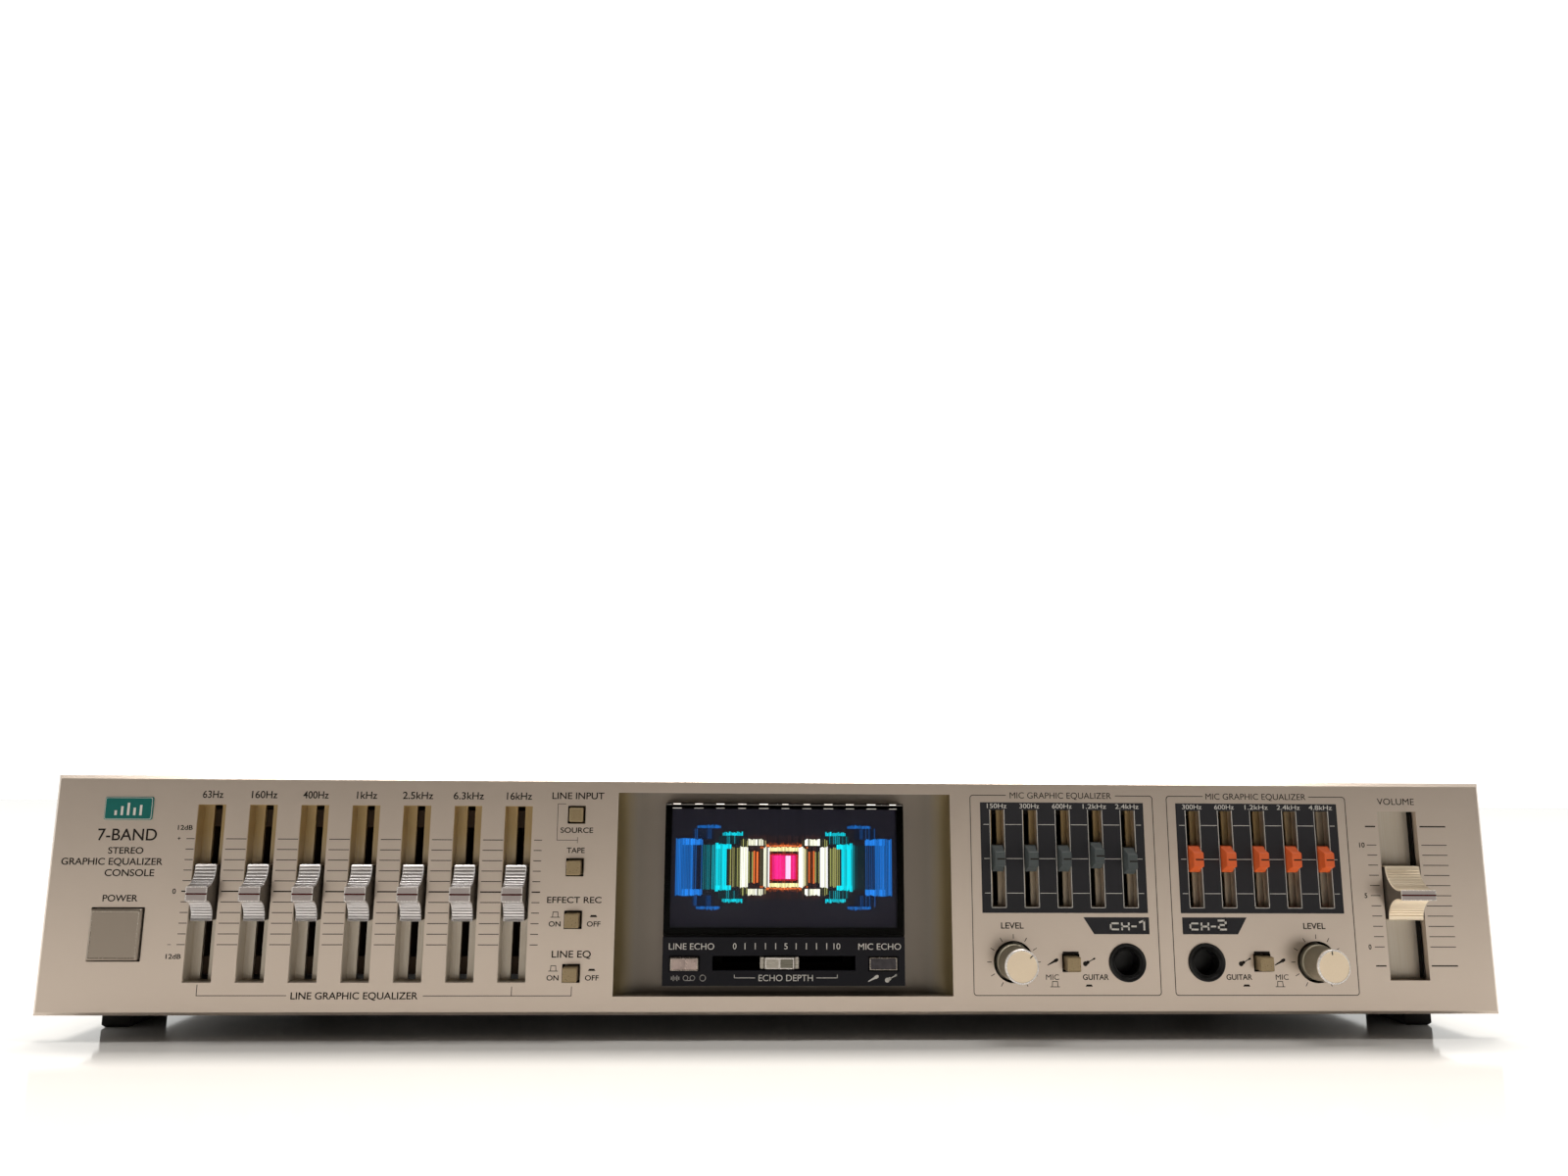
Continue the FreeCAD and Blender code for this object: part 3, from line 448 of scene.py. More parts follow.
def washer(bm, x, z, inner, outer, y0, y1):
    """A plain round ring about Y."""
    closed_loft(bm, turned(x, z, ((outer, y0), (outer, y1), (inner, y1), (inner, y0)), 72))


def refine(node, key, width, segments=2):
    """A copy of a CAD node with rounded edges, which stands for it."""
    bm = bmesh.new()
    bm.from_mesh(frame["nodes"][node].data)
    bmesh.ops.remove_doubles(bm, verts=bm.verts, dist=1e-6)
    bmesh.ops.dissolve_limit(bm, angle_limit=math.radians(1), verts=bm.verts, edges=bm.edges)
    sharp = [e for e in bm.edges if len(e.link_faces) == 2 and e.calc_face_angle(0) > 0.6]
    bmesh.ops.bevel(bm, geom=sharp, offset=width * MM, segments=segments, profile=0.6,
                    affect="EDGES", clamp_overlap=True)
    piece(node + "_shell", bm, key, node=node)


# ---- print on the panel ----
INK_THICK = 0.03
INK_SPREAD = 0.035               # how much the ink widens a letter's strokes
LINE = 0.22                      # usual width of a printed line


def lettering(text, spread=0):
    """A loose mesh of words in the built-in lettering at size 1."""
    curve = bpy.data.curves.new("lettering", "FONT")
    curve.body = text
    curve.extrude = 0.01
    curve.offset = spread
    holder = new_object("lettering", curve)
    graph = bpy.context.evaluated_depsgraph_get()
    mesh = bpy.data.meshes.new_from_object(holder.evaluated_get(graph))
    bpy.data.objects.remove(holder)
    bpy.data.curves.remove(curve)
    return mesh


CAPITAL_MESH = lettering("H")
CAPITAL = max(v.co.y for v in CAPITAL_MESH.vertices)
bpy.data.meshes.remove(CAPITAL_MESH)


def add_text(bm, text, x, z, width, cap, y=0, spread=INK_SPREAD):
    """Lettering centred on x with its feet at z, fitted to a width and a capital's height."""
    mesh = lettering(text, spread * CAPITAL / cap)
    xs = [v.co.x for v in mesh.vertices]
    left, right = min(xs), max(xs)
    grow_x, grow_z = width / (right - left), cap / CAPITAL
    for v in mesh.vertices:
        v.co = at(x + (v.co.x - (left + right) / 2) * grow_x,
                  y - INK_THICK / 2 - math.copysign(INK_THICK / 2, v.co.z), z + v.co.y * grow_z)
    bm.from_mesh(mesh)
    bpy.data.meshes.remove(mesh)


def stroke(bm, x0, z0, x1, z1, width=LINE, y=0):
    """A straight printed line with square ends."""
    a, b = Vector((x0, z0)), Vector((x1, z1))
    along = (b - a).normalized()
    side = Vector((-along.y, along.x)) * width / 2
    cap = along * width / 2
    corners = [a - cap - side, b + cap - side, b + cap + side, a - cap + side]
    loft(bm, [[at(p.x, y - lift, p.y) for p in corners] for lift in (INK_THICK, 0)])


def polyline(bm, points, width=LINE, y=0):
    for (x0, z0), (x1, z1) in zip(points, points[1:]):
        stroke(bm, x0, z0, x1, z1, width, y)


def patch(bm, points):
    """A filled printed shape."""
    loft(bm, [[at(x, -lift, z) for x, z in points] for lift in (INK_THICK, 0)])


def field(bm, x0, z0, x1, z1):
    patch(bm, [(x0, z0), (x1, z0), (x1, z1), (x0, z1)])


def out_symbol(bm, x, z, width=2.6):
    """The sign of a button that is out: a small hat on a line."""
    half = width / 2
    polyline(bm, [(x - half, z), (x + half, z)], 0.2)
    polyline(bm, [(x - half + 0.5, z), (x - half + 0.6, z + 1.5), (x + half - 0.6, z + 1.5),
                  (x + half - 0.5, z)], 0.2)


def in_symbol(bm, x, z):
    """The sign of a button that is in: a flat filled hat."""
    patch(bm, [(x - 1.1, z), (x + 1.1, z), (x + 0.75, z + 0.6), (x - 0.75, z + 0.6)])


SLANT = (0.88, 0.47)


def microphone(bm, x, z, size=1):
    """A slanted stick microphone."""
    along = Vector(SLANT)
    side = Vector((-along.y, along.x))
    centre = Vector((x, z))
    outline = [(-1.9, 0.12), (0.5, 0.33), (0.7, 0.5), (1.55, 0.42), (1.85, 0),
               (1.55, -0.42), (0.7, -0.5), (0.5, -0.33), (-1.9, -0.12)]
    points = [centre + (along * a + side * s) * size for a, s in outline]
    patch(bm, [(p.x, p.y) for p in points])


def guitar(bm, x, z, size=1):
    """A slanted guitar: two round bouts and a neck."""
    along = Vector(SLANT)
    centre = Vector((x, z))
    for offset, radius in ((-1.25, 0.72), (-0.4, 0.5)):
        middle = centre + along * offset * size
        circle = [(middle.x + radius * size * math.cos(a), middle.y + radius * size * math.sin(a))
                  for a in (2 * math.pi * i / 16 for i in range(16))]
        patch(bm, circle)
    tip = centre + along * 1.9 * size
    root = centre - along * 0.2 * size
    stroke(bm, root.x, root.y, tip.x, tip.y, 0.26 * size)
    head = centre + along * 1.7 * size
    stroke(bm, head.x, head.y, tip.x, tip.y, 0.5 * size)


LINE_LABELS = ("63Hz", "160Hz", "400Hz", "1kHz", "2.5kHz", "6.3kHz", "16kHz")
MIC_LABELS = {"ch1": ("150Hz", "300Hz", "600Hz", "1.2kHz", "2.4kHz"),
              "ch2": ("300Hz", "600Hz", "1.2kHz", "2.4kHz", "4.8kHz")}
LINE_SLOT_LOW, LINE_SLOT_HIGH = 9.2, 59.7
TICK_LOW, TICK_STEP, TICK_COUNT = 19.75, 3, 11


def line_print(bm):
    """Labels, scale ticks and the group line of the line equalizer."""
    centres = [centre_x(n) for n in LINE_NODES]
    for x, label in zip(centres, LINE_LABELS):
        add_text(bm, label, x, 61.6, 1.5 * len(label), 2.05)
    middle = TICK_LOW + TICK_STEP * (TICK_COUNT - 1) / 2
    for i in range(TICK_COUNT):
        z = TICK_LOW + TICK_STEP * i
        width = 0.38 if abs(z - middle) < 0.1 else LINE
        stroke(bm, centres[0] - 6.45, z, centres[0] - 4.35, z, width)
        stroke(bm, centres[-1] + 5, z, centres[-1] + 7.1, z, width)
        for a, b in zip(centres, centres[1:]):
            stroke(bm, a + 4.95, z, b - 4.35, z, width)
    left = centres[0] - 8.7
    add_text(bm, "12dB", left + 1.5, 52.3, 4.3, 1.3)
    add_text(bm, "12dB", left + 1.5, 15.8, 4.3, 1.3)
    add_text(bm, "+", left, TICK_LOW + TICK_STEP * 10 - 0.55, 0.8, 1.2)
    add_text(bm, "0", left, middle - 0.7, 1, 1.4)
    stroke(bm, left - 0.4, TICK_LOW, left + 0.4, TICK_LOW, 0.16)
    polyline(bm, [(centres[0] + 0.3, 8.6), (centres[0] + 0.3, 5.6), (-143.8, 5.6)], 0.2)
    polyline(bm, [(-104.6, 5.5), (-62, 5.5), (-62, 8)], 0.2)
    stroke(bm, centres[-1] + 0.2, 5.5, centres[-1] + 0.2, 8, 0.2)
    add_text(bm, "LINE GRAPHIC EQUALIZER", -124.3, 4.6, 36.3, 1.9)


def button_print(bm):
    """Labels of the column of push buttons and of the power button."""
    for words in (("POWER", -193.4, 31.85, 10, 1.8), ("LINE INPUT", -62, 61.85, 15.5, 1.9),
                  ("SOURCE", -62.1, 51.95, 9.7, 1.5), ("TAPE", -62.2, 46.1, 5.3, 1.5),
                  ("EFFECT REC", -62.1, 31.7, 16, 1.7), ("LINE EQ", -62.4, 16.2, 11.4, 1.9)):
        add_text(bm, *words)
    polyline(bm, [(-65.6, 60.4), (-67.9, 60.4), (-67.9, 49.8), (-61.8, 49.8)], 0.15)
    stroke(bm, -61.8, 49, -61.8, 50.6, 0.15)
    for z in (27.6, 12.4):
        out_symbol(bm, -67.5, z)
        in_symbol(bm, -56.3, z + 0.05)
        add_text(bm, "ON", -67.6, z - 2.6, 3.5, 1.4)
        add_text(bm, "OFF", -56.2, z - 2.6, 4, 1.4)


def title_print(bm):
    """Plain words that say what the object is."""
    for words in (("7-BAND", -193.2, 49.2, 17, 3.3), ("STEREO", -193.2, 45.4, 10.1, 1.8),
                  ("GRAPHIC EQUALIZER", -196.8, 42.2, 29, 1.9),
                  ("CONSOLE", -191.5, 39, 14.2, 1.9)):
        add_text(bm, *words)


def arc_points(x, z, radius, start, end, steps=5):
    angles = [math.radians(start + (end - start) * i / steps) for i in range(steps + 1)]
    return [(x + radius * math.sin(a), z + radius * math.cos(a)) for a in angles]


def channel_frame(bm, left, right, gap_left, gap_right):
    """A thin frame with small round corners, broken at the top for its title."""
    low, high, r = 5.5, 63.7, 0.9
    path = [(gap_left, high)]
    for x, z, start in ((left + r, high - r, 0), (left + r, low + r, -90),
                        (right - r, low + r, 180), (right - r, high - r, 90)):
        path += arc_points(x, z, r, start, start - 90)
    path.append((gap_right, high))
    polyline(bm, path)
    add_text(bm, "MIC GRAPHIC EQUALIZER", (gap_left + gap_right) / 2, 62.8, 31.2, 1.8, spread=0)


PLATE_LOW, PLATE_HIGH = 29.1, 61.6
MIC_SLOT_HALF, MIC_SLOT_LOW, MIC_SLOT_HIGH = 2.05, 30.8, 59.3


def channel_print(plate, light, channel):
    """The dark field round one channel's slots, with its white labels and scale."""
    centres = [centre_x(n) for n in MIC_NODES[channel]]
    middle = centres[2]
    edges = [middle - 25.1] + [x + s * (MIC_SLOT_HALF + 0.02) for x in centres for s in (-1, 1)]
    edges.append(middle + 25)
    for left, right in zip(edges[0::2], edges[1::2]):
        field(plate, left, MIC_SLOT_LOW, right, MIC_SLOT_HIGH)
    for z0, z1 in ((PLATE_LOW, MIC_SLOT_LOW), (MIC_SLOT_HIGH, PLATE_HIGH)):
        field(plate, edges[0], z0, edges[-1], z1)
    lift = -INK_THICK
    rim, top, foot = MIC_SLOT_HALF + 0.14, MIC_SLOT_HIGH + 0.1, MIC_SLOT_LOW - 0.14
    for x, label in zip(centres, MIC_LABELS[channel]):
        polyline(light, [(x - rim, top), (x - rim, foot), (x + rim, foot), (x + rim, top)],
                 0.17, lift)
        add_text(light, label, x, 59.85, 1.2 * len(label), 1.35, lift, 0)
    ends = [edges[0] - 1.6] + centres + [edges[-1] + 1.6]
    for z in (55, 44.95, 34.85):
        for a, b in zip(ends, ends[1:]):
            stroke(light, a + 2.6, z, b - 2.6, z, 0.16, lift)


def channel_badge(plate, light, channel):
    """The slanted tag with the channel's number in wide heavy letters."""
    if channel == "ch1":
        outline = [(92.7, 23), (109.5, 23), (109.5, 27.9), (89.6, 27.9)]
        left = 97.8
    else:
        outline = [(119.6, 23), (136.4, 23), (139.3, 27.9), (119.6, 27.9)]
        left = 122.0
    patch(plate, outline)
    for letter, start, width, tall, weight in (
            ("C", 0, 2.2, 1.75, 0.5), ("H", 3.4, 2.1, 1.75, 0.5), ("-", 6.5, 1.1, 1.75, 0.5),
            (channel[-1], 8.7, 2.1, 2.6, 0.55)):
        wide_glyph(light, letter, left + start, 24.4, width, tall, weight, -INK_THICK)


WIDE_GLYPHS = {
    "C": [[(1, 1), (0, 1), (0, 0), (1, 0)]],
    "H": [[(0, 0), (0, 1)], [(1, 0), (1, 1)], [(0, 0.5), (1, 0.5)]],
    "-": [[(0, 0.5), (1, 0.5)]],
    "1": [[(0.1, 0.8), (0.7, 1), (0.7, 0)]],
    "2": [[(0, 1), (1, 1), (1, 0.5), (0, 0.5), (0, 0), (1, 0)]],
}


def wide_glyph(bm, letter, x, z, width, tall, weight, y):
    """A heavy letter drawn with straight strokes in a box."""
    for line in WIDE_GLYPHS[letter]:
        polyline(bm, [(x + px * width, z + pz * tall) for px, pz in line], weight, y)


def level_print(bm, channel):
    x, z = middle_xz("level_knob_" + channel)
    add_text(bm, "LEVEL", x - 0.2, z + 9.6, 6.8, 1.7)
    for start, end in zip(*(arc_points(x, z, r, -150, 150, 10) for r in (6.8, 7.9))):
        stroke(bm, *start, *end, 0.2)


def mode_print(bm, channel):
    x, z = middle_xz("mode_button_" + channel)
    field(bm, x - 2.4, z + 2.6, x + 2.4, z + 3.25)
    side = 1 if channel == "ch1" else -1
    microphone(bm, x - side * 5.4, 15)
    add_text(bm, "MIC", x - side * 5.7, 9.95, 3.9, 1.5, spread=0)
    out_symbol(bm, x - side * 5, 7.95, 2.7)
    guitar(bm, x + side * 5.4, 15.1)
    add_text(bm, "GUITAR", x + side * 7.3, 9.95, 7.8, 1.5)
    in_symbol(bm, x + side * 5.2, 8)


def volume_print(bm):
    x = centre_x("volume_slider")
    add_text(bm, "VOLUME", x, 61.5, 11.6, 1.9, spread=0)
    heights = [54.95] + [49.4 - 3.0 * i for i in range(11)] + [13.9]
    for z in heights:
        width = 0.4 if z in (heights[0], heights[-1]) else LINE
        stroke(bm, x + 7.1, z, x + 14.8, z, width)
        stroke(bm, x - 10, z, x - 7.2, z, width)
    for number, z in (("10", 49.4), ("5", 34.4), ("0", 19.4)):
        add_text(bm, number, x - 11.6, z - 0.7, 0.85 * len(number), 1.4)


def echo_print(bm):
    """White print on the echo fascia, scale above the slot and bracket below it."""
    for words in (("LINE ECHO", -27.3, 18.5, 13.3, 1.75), ("MIC ECHO", 28.3, 18.5, 12.7, 1.75),
                  ("0", -14.6, 18.6, 1, 1.7), ("5", 0.5, 18.6, 1, 1.7), ("10", 15.6, 18.6, 2, 1.7),
                  ("ECHO DEPTH", 0.5, 9.6, 16, 1.75)):
        add_text(bm, *words, spread=0)
    for i in range(11):
        if i % 5:
            x = -14.6 + 3.02 * i
            stroke(bm, x, 18.7, x, 20.2, 0.26)
    polyline(bm, [(-8.6, 10.5), (-14.6, 10.5), (-14.6, 11.3)], 0.18)
    polyline(bm, [(9.6, 10.5), (15.7, 10.5), (15.7, 11.3)], 0.18)
    for i in range(5):
        x, half = -33.0 + 0.55 * i, 0.35 * (1 + i % 2)
        stroke(bm, x, 10.4 - half, x, 10.4 + half, 0.16)
    for x in (-28.9, -26.9):
        polyline(bm, arc_points(x, 10.45, 0.7, 0, 360, 14), 0.18)
    stroke(bm, -28.9, 9.75, -26.9, 9.75, 0.16)
    polyline(bm, arc_points(-23.9, 10.45, 0.85, 0, 360, 16), 0.18)
    microphone(bm, 26.4, 10.3, 0.95)
    guitar(bm, 31.5, 10.4, 0.95)


def printing():
    dark, plate, light = bmesh.new(), bmesh.new(), bmesh.new()
    line_print(dark)
    button_print(dark)
    title_print(dark)
    channel_frame(dark, 56.2, 112.2, 67.1, 100.9)
    channel_frame(dark, 116.6, 172.2, 127.9, 161)
    for channel in CHANNELS:
        channel_print(plate, light, channel)
        channel_badge(plate, light, channel)
        level_print(dark, channel)
        mode_print(dark, channel)
    volume_print(dark)
    echo_print(light)
    piece("panel_lettering", dark, "ink")
    piece("panel_dark_fields", plate, "plate_ink")
    piece("panel_white_lettering", light, "white_ink")


# ---- badge ----
def badge():
    """A teal plate with a pale rim and a plain five-bar motif."""
    x, z, width, height, front = face_of("badge_plate")
    back = local_box("badge_plate")[1].y
    body = bmesh.new()
    slab(body, x, z, [(front, width - 0.3, height - 0.3), (front + 0.12, width, height),
                      (back, width, height)], 0.5)
    piece("badge_body", body, "teal", node="badge_plate")
    rim = bmesh.new()
    y0, y1 = front - 0.03, front + 0.05
    thin_frame(rim, x, z, width - 0.4, height - 0.4, 0.12, y0, y1, 0.5)
    for i, tall in enumerate((1.4, 2.6, 3.6, 2.2, 3)):
        bx = x - 3.6 + 1.8 * i
        bar(rim, bx - 0.35, bx + 0.35, y0, y1, z - 2, z - 2.0 + tall)
    piece("badge_motif", rim, "white_ink")


# ---- sliders ----
def circle_through(a, b, c):
    """Centre of the circle through three plane points."""
    squares = Vector((b.length_squared, c.length_squared)) - Vector((a.length_squared,) * 2)
    return Matrix((2 * (b - a), 2 * (c - a))).inverted() @ squares


def scoop_points(end, top, low, proud, grooves):
    """The scooped flank from the knob's end to its ridge, as (y, dz, inward normal)."""
    start, finish_at = Vector((low, end)), Vector((-proud, top))
    middle = Vector((low - 0.18 * (proud + low), end - 0.62 * (end - top)))
    centre = circle_through(start, middle, finish_at)
    radius = (start - centre).length
    a0 = math.atan2(start.y - centre.y, start.x - centre.x)
    a1 = math.atan2(finish_at.y - centre.y, finish_at.x - centre.x)
    sweep = (a1 - a0 + math.pi) % (2 * math.pi) - math.pi
    points = []
    steps = grooves * 4
    for i in range(steps + 1):
        angle = a0 + sweep * i / steps
        normal = Vector((-math.cos(angle), -math.sin(angle)))
        p = centre - normal * radius
        cut = GROOVE_DEPTH if i % 4 == 2 and 0.04 < i / steps < 0.78 else 0.0
        points.append((p, normal, cut))
    return points


KNOB_BEVEL = 0.22
GROOVE_DEPTH = 0.14
LOWER_GROOVES = 1.7              # how much deeper the lower flank's grooves are


def ridge_knob(node, key, ridge, proud, name, grooves=10):
    """A slider knob: finely grooved scoops, a flat ridge, bevelled sides and an index line."""
    low, high = local_box(node)
    x0, x1 = low.x, high.x
    end = (high.z - low.z) / 2
    z = (high.z + low.z) / 2
    top, flat = ridge / 2, -0.8
    back = 3.8
    lip = 0.25
    flank = scoop_points(end - lip, top, flat, proud, grooves)
    outline = [(Vector((back, end)), Vector((0.7, -0.7)), 0.0),
               (Vector((flat + lip, end)), Vector((0.4, -0.9)), 0.0)] + flank
    outline += [(Vector((p.x, -p.y)), Vector((n.x, -n.y)), LOWER_GROOVES * c)
                for p, n, c in reversed(flank)]
    outline += [(Vector((flat + lip, -end)), Vector((0.4, 0.9)), 0.0),
                (Vector((back, -end)), Vector((0.7, 0.7)), 0.0)]

    def ring(x, inset, grooved):
        points = []
        for p, n, c in outline:
            inward = Vector((abs(n.x), -math.copysign(abs(n.y), p.y) if abs(p.y) > 0.01 else 0))
            q = p + inward.normalized() * (inset + (c if grooved else 0.0))
            points.append(at(x, q.x, z + q.y))
        return points

    bm = bmesh.new()
    loft(bm, [ring(x0, KNOB_BEVEL, False), ring(x0 + KNOB_BEVEL, 0.0, True),
              ring(x1 - KNOB_BEVEL, 0.0, True), ring(x1, KNOB_BEVEL, False)])
    piece(name, bm, key, node, node)
    sides = bmesh.new()
    for x, lift in ((x0, -0.02), (x1, 0.02)):
        loft(sides, [ring(x + s * lift, KNOB_BEVEL + 0.12, False) for s in (1, -1)])
    piece(name + "_cheeks", sides, "side", node)
    middle = (x0 + x1) / 2
    pad = bmesh.new()
    bar(pad, x0 + 0.3, x1 - 0.3, -proud - 0.02, -proud + 0.1, z - top + 0.3, z + top - 0.3)
    piece(name + "_ridge", pad, "ridge", node)
    # A light outline round the ridge pad: painted highlight on its bevel.
    ridge_highlight_line = bmesh.new()
    thin_frame(ridge_highlight_line, middle, z, x1 - x0 - 0.14, ridge - 0.06, 0.24, -proud - 0.03, -proud + 0.1)
    piece(name + "_ridge_edge_highlight", ridge_highlight_line, "painted_highlight", node)
    line = bmesh.new()
    bar(line, x0 + 0.1, x1 - 0.04, -proud - 0.05, -proud + 0.1, z - 0.23, z + 0.23)
    piece(name + "_index", line, "red", node)


def lever(name, body, x, z, width, height, y0=3.8, y1=12.5):
    bm = bmesh.new()
    slab(bm, x, z, [(y0, width, height), (y1 - 0.3, width, height),
                    (y1, width - 0.3, height - 0.3)], 0.2)
    piece(name + "_lever", bm, "zinc", body)


def line_sliders():
    for node in LINE_NODES:
        ridge_knob(node, "silver", 4.2, 5.3, node + "_knob")
        lever(node, node, *middle_xz(node), 1.3, 5)


def mic_sliders():
    """Small caps with a raised pad, a dark middle line and tapered ends."""
    for channel, key in zip(CHANNELS, ("green", "orange")):
        for node in MIC_NODES[channel]:
            x, z, width, height, proud = face_of(node)
            bm = bmesh.new()
            slab(bm, x, z, [(proud, 2.7, 3.9), (proud + 0.12, 2.95, 4.15), (-1.2, 3, 5.6),
                            (0.1, width - 0.1, 7.4), (0.45, width, height), (3.5, width, height),
                            (3.8, width - 0.3, height - 0.3)], 0.2)
            piece(node + "_cap", bm, key, node, node)
            mark = bmesh.new()
            bar(mark, x - 1, x + 1.4, proud - 0.02, proud + 0.08, z - 0.2, z + 0.2)
            piece(node + "_mark", mark, "ink", node)
            lever(node, node, x, z, 0.9, 3.4)


def volume_slider():
    node = "volume_slider"
    ridge_knob(node, "cream", 3.1, 8.2, "volume_knob", 14)
    lever(node, node, local_box("volume_slide_pot")[0].x + 4.5, middle_xz(node)[1], 1.3, 5)


def echo_slider():
    """A grip of two framed pads with a middle line, between two low wings."""
    node = "echo_slider"
    x, z, height = centre_x(node), 14.75, 3.2
    grip, frames = bmesh.new(), bmesh.new()
    slab(grip, x, z, [(-1.55, 8.4, height - 0.3), (-1.4, 8.7, height), (3.8, 8.7, height)], 0.2)
    for side, key in ((-1, "pad_left"), (1, "pad_right")):
        slab(grip, x + side * 5.1, z, [(-0.6, 0.9, height - 0.3), (-0.45, 1.2, height),
                                       (3.8, 1.2, height)], 0.2)
        pad, middle = bmesh.new(), x + side * 2.1
        bar(pad, middle - 1.85, middle + 1.85, -1.58, -1.5, z - 1.25, z + 1.25)
        piece(node + "_" + key, pad, key, node)
        thin_frame(frames, middle, z, 4.1, height - 0.25, 0.2, -1.6, -1.5, 0.2)
    bar(grip, x - 5.6, x + 5.6, 1, 3.75, z - 1.4, z + 1.4)
    piece("echo_grip", grip, "pad_left", node, node)
    # The light frames round the pads are painted highlight.
    piece("echo_grip_edges", frames, "painted_highlight", node)
    lever("echo", node, x, 14.65, 4, 1.2, 3.8, 14.5)


# ---- knobs and buttons ----
def level_knob(channel, pointer_deg):
    """A turned knob: finely ribbed side, a chamfer whose brightness is a painted highlight,
    slightly dished face, black pointer.
    """
    node = "level_knob_" + channel
    x, z, _, _, front = face_of(node)

    def ribs(radius, y, angle):
        if front + 0.9 < y < -1.4 and radius > 4:
            return radius - 0.07 * (1 + math.cos(90 * angle))
        return radius

    side = bmesh.new()
    lathe(side, x, z, [(4.75, front + 0.5), (4.95, front + 0.8), (4.95, front + 1.2),
                       (5, -3), (5.05, -1.6), (5.25, -1.3), (5.3, 1.2), (5.1, 1.5)], 270, ribs)
    piece(node + "_grip", side, "knob_side", node, node)

    def add(suffix, key, steps, profile):
        bm = bmesh.new()
        lathe(bm, x, z, profile, steps)
        piece(node + suffix, bm, key, node)

    add("_face", "knob", 96, [
        (4.3, front + 0.06), (4.45, front), (4.6, front + 0.05),
        (4.92, front + 0.4), (4.92, front + 0.75), (4.3, front + 0.75)])
    # The lighter chamfer ring is a painted highlight.
    add("_rim", "painted_highlight", 96, [
        (4.5, front + 0.1), (4.42, front - 0.03), (4.66, front - 0.01),
        (4.96, front + 0.3), (4.9, front + 0.5)])
    mark = bmesh.new()
    bar(mark, x - 0.14, x + 0.14, front - 0.02, front + 0.2, z + 3.4, z + 4.6)
    turn(mark, pointer_deg, "Y", at(x, 0, z))
    piece(node + "_pointer", mark, "ink", node)
    add("_shaft", "zinc", 32, [(3, 1.5), (3, 12.8), (2.8, 13)])


def push_button(node, key, corner=0.25, rim=0.28):
    """A square cap with rounded edges and a faintly hollow face, and its stem."""
    x, z, width, height, front = face_of(node)
    depth = 5.8 if width < 5 else 5.0 if width > 10 else 6.5
    bm = bmesh.new()
    slab(bm, x, z, [(front + 0.05, width - 2.6 * rim, height - 2.6 * rim),
                    (front, width - 2 * rim, height - 2 * rim),
                    (front + rim * 0.35, width - 0.7 * rim, height - 0.7 * rim),
                    (front + rim, width, height), (front + depth, width, height)], corner)
    stem = (5, 5) if width > 10 else (2.4, 2.4) if width < 5 else (3, 2.4)
    slab(bm, x, z, [(front + depth, *stem), (local_box(node)[1].y, *stem)], 0.1)
    piece(node + "_cap", bm, key, node, node)


def rim(node, inset, edge, bevel, depth):
    """The lighter bevel round a cap's face: a painted highlight in a brighter copy of the metal."""
    x, z, width, height, front = face_of(node)
    rings = [rounded(x, front + y, z, width - less, height - less, 0.25)
             for less, y in ((inset, 0.02), (inset - 0.15, -0.01), (edge, bevel), (-0.02, depth))]
    bm = bmesh.new()
    loft(bm, rings, closed=False)
    bmesh.ops.solidify(bm, geom=bm.faces, thickness=0.00005)
    piece(node + "_rim", bm, "edge", node)


def liners():
    """Linings of the slots, the push buttons' holes and the level knobs' holes, partly painted
    light and shade, and a painted shadow along the volume slot.
    """
    # Plate-finish linings on the line slots' walls: painted light, so the walls take the plate's
    # tone instead of their own shade.
    plated = bmesh.new()
    z = (LINE_SLOT_LOW + LINE_SLOT_HIGH) / 2
    for node in LINE_NODES:
        thin_frame(plated, centre_x(node), z, 8.14, 50.4, 0.12, 0.35, 5.5, 0.1)
    piece("line_slot_liners", plated, "plate")
    bm = bmesh.new()
    # Black guides round the button and knob holes; their black also stands in for the shade in the
    # gaps: partly painted shade.
    holes = [(node, 5.25) for node in SMALL_BUTTONS] + [("power_button", 15.2)]
    for node, hole in holes:
        x, z = middle_xz(node)
        thin_frame(bm, x, z, hole - 0.02, hole - 0.02, 0.12, 0.25, 4.5, 0.2)
    for channel in CHANNELS:
        washer(bm, *middle_xz("level_knob_" + channel), 5.75, 6.04, 0.3, 4.4)
    piece("hole_liners", bm, "deep")
    # A dark strip along the volume slot's right edge: painted shadow.
    slot_shadow_strip = bmesh.new()
    bar(slot_shadow_strip, 193.9, 194.17, 2.3, 5.48, 9.9, 59.3)
    piece("volume_slot_painted_shadow", slot_shadow_strip, "deep")


def buttons():
    for node in SMALL_BUTTONS:
        push_button(node, "beige")
    # The mic echo cap's dark silver is a painted dark reflection.
    for node, key in (("line_echo_button", "rose_silver"), ("mic_echo_button", "silver_painted_dark")):
        push_button(node, key)
        rim(node, 0.5, 0.04, 0.05, 0.3)
    push_button("power_button", "power", 0.3, 0.55)
    rim("power_button", 1.5, 0.05, 0.62, 0.9)


JACKS = ((102.4, 14.8), (126.4, 14.9))


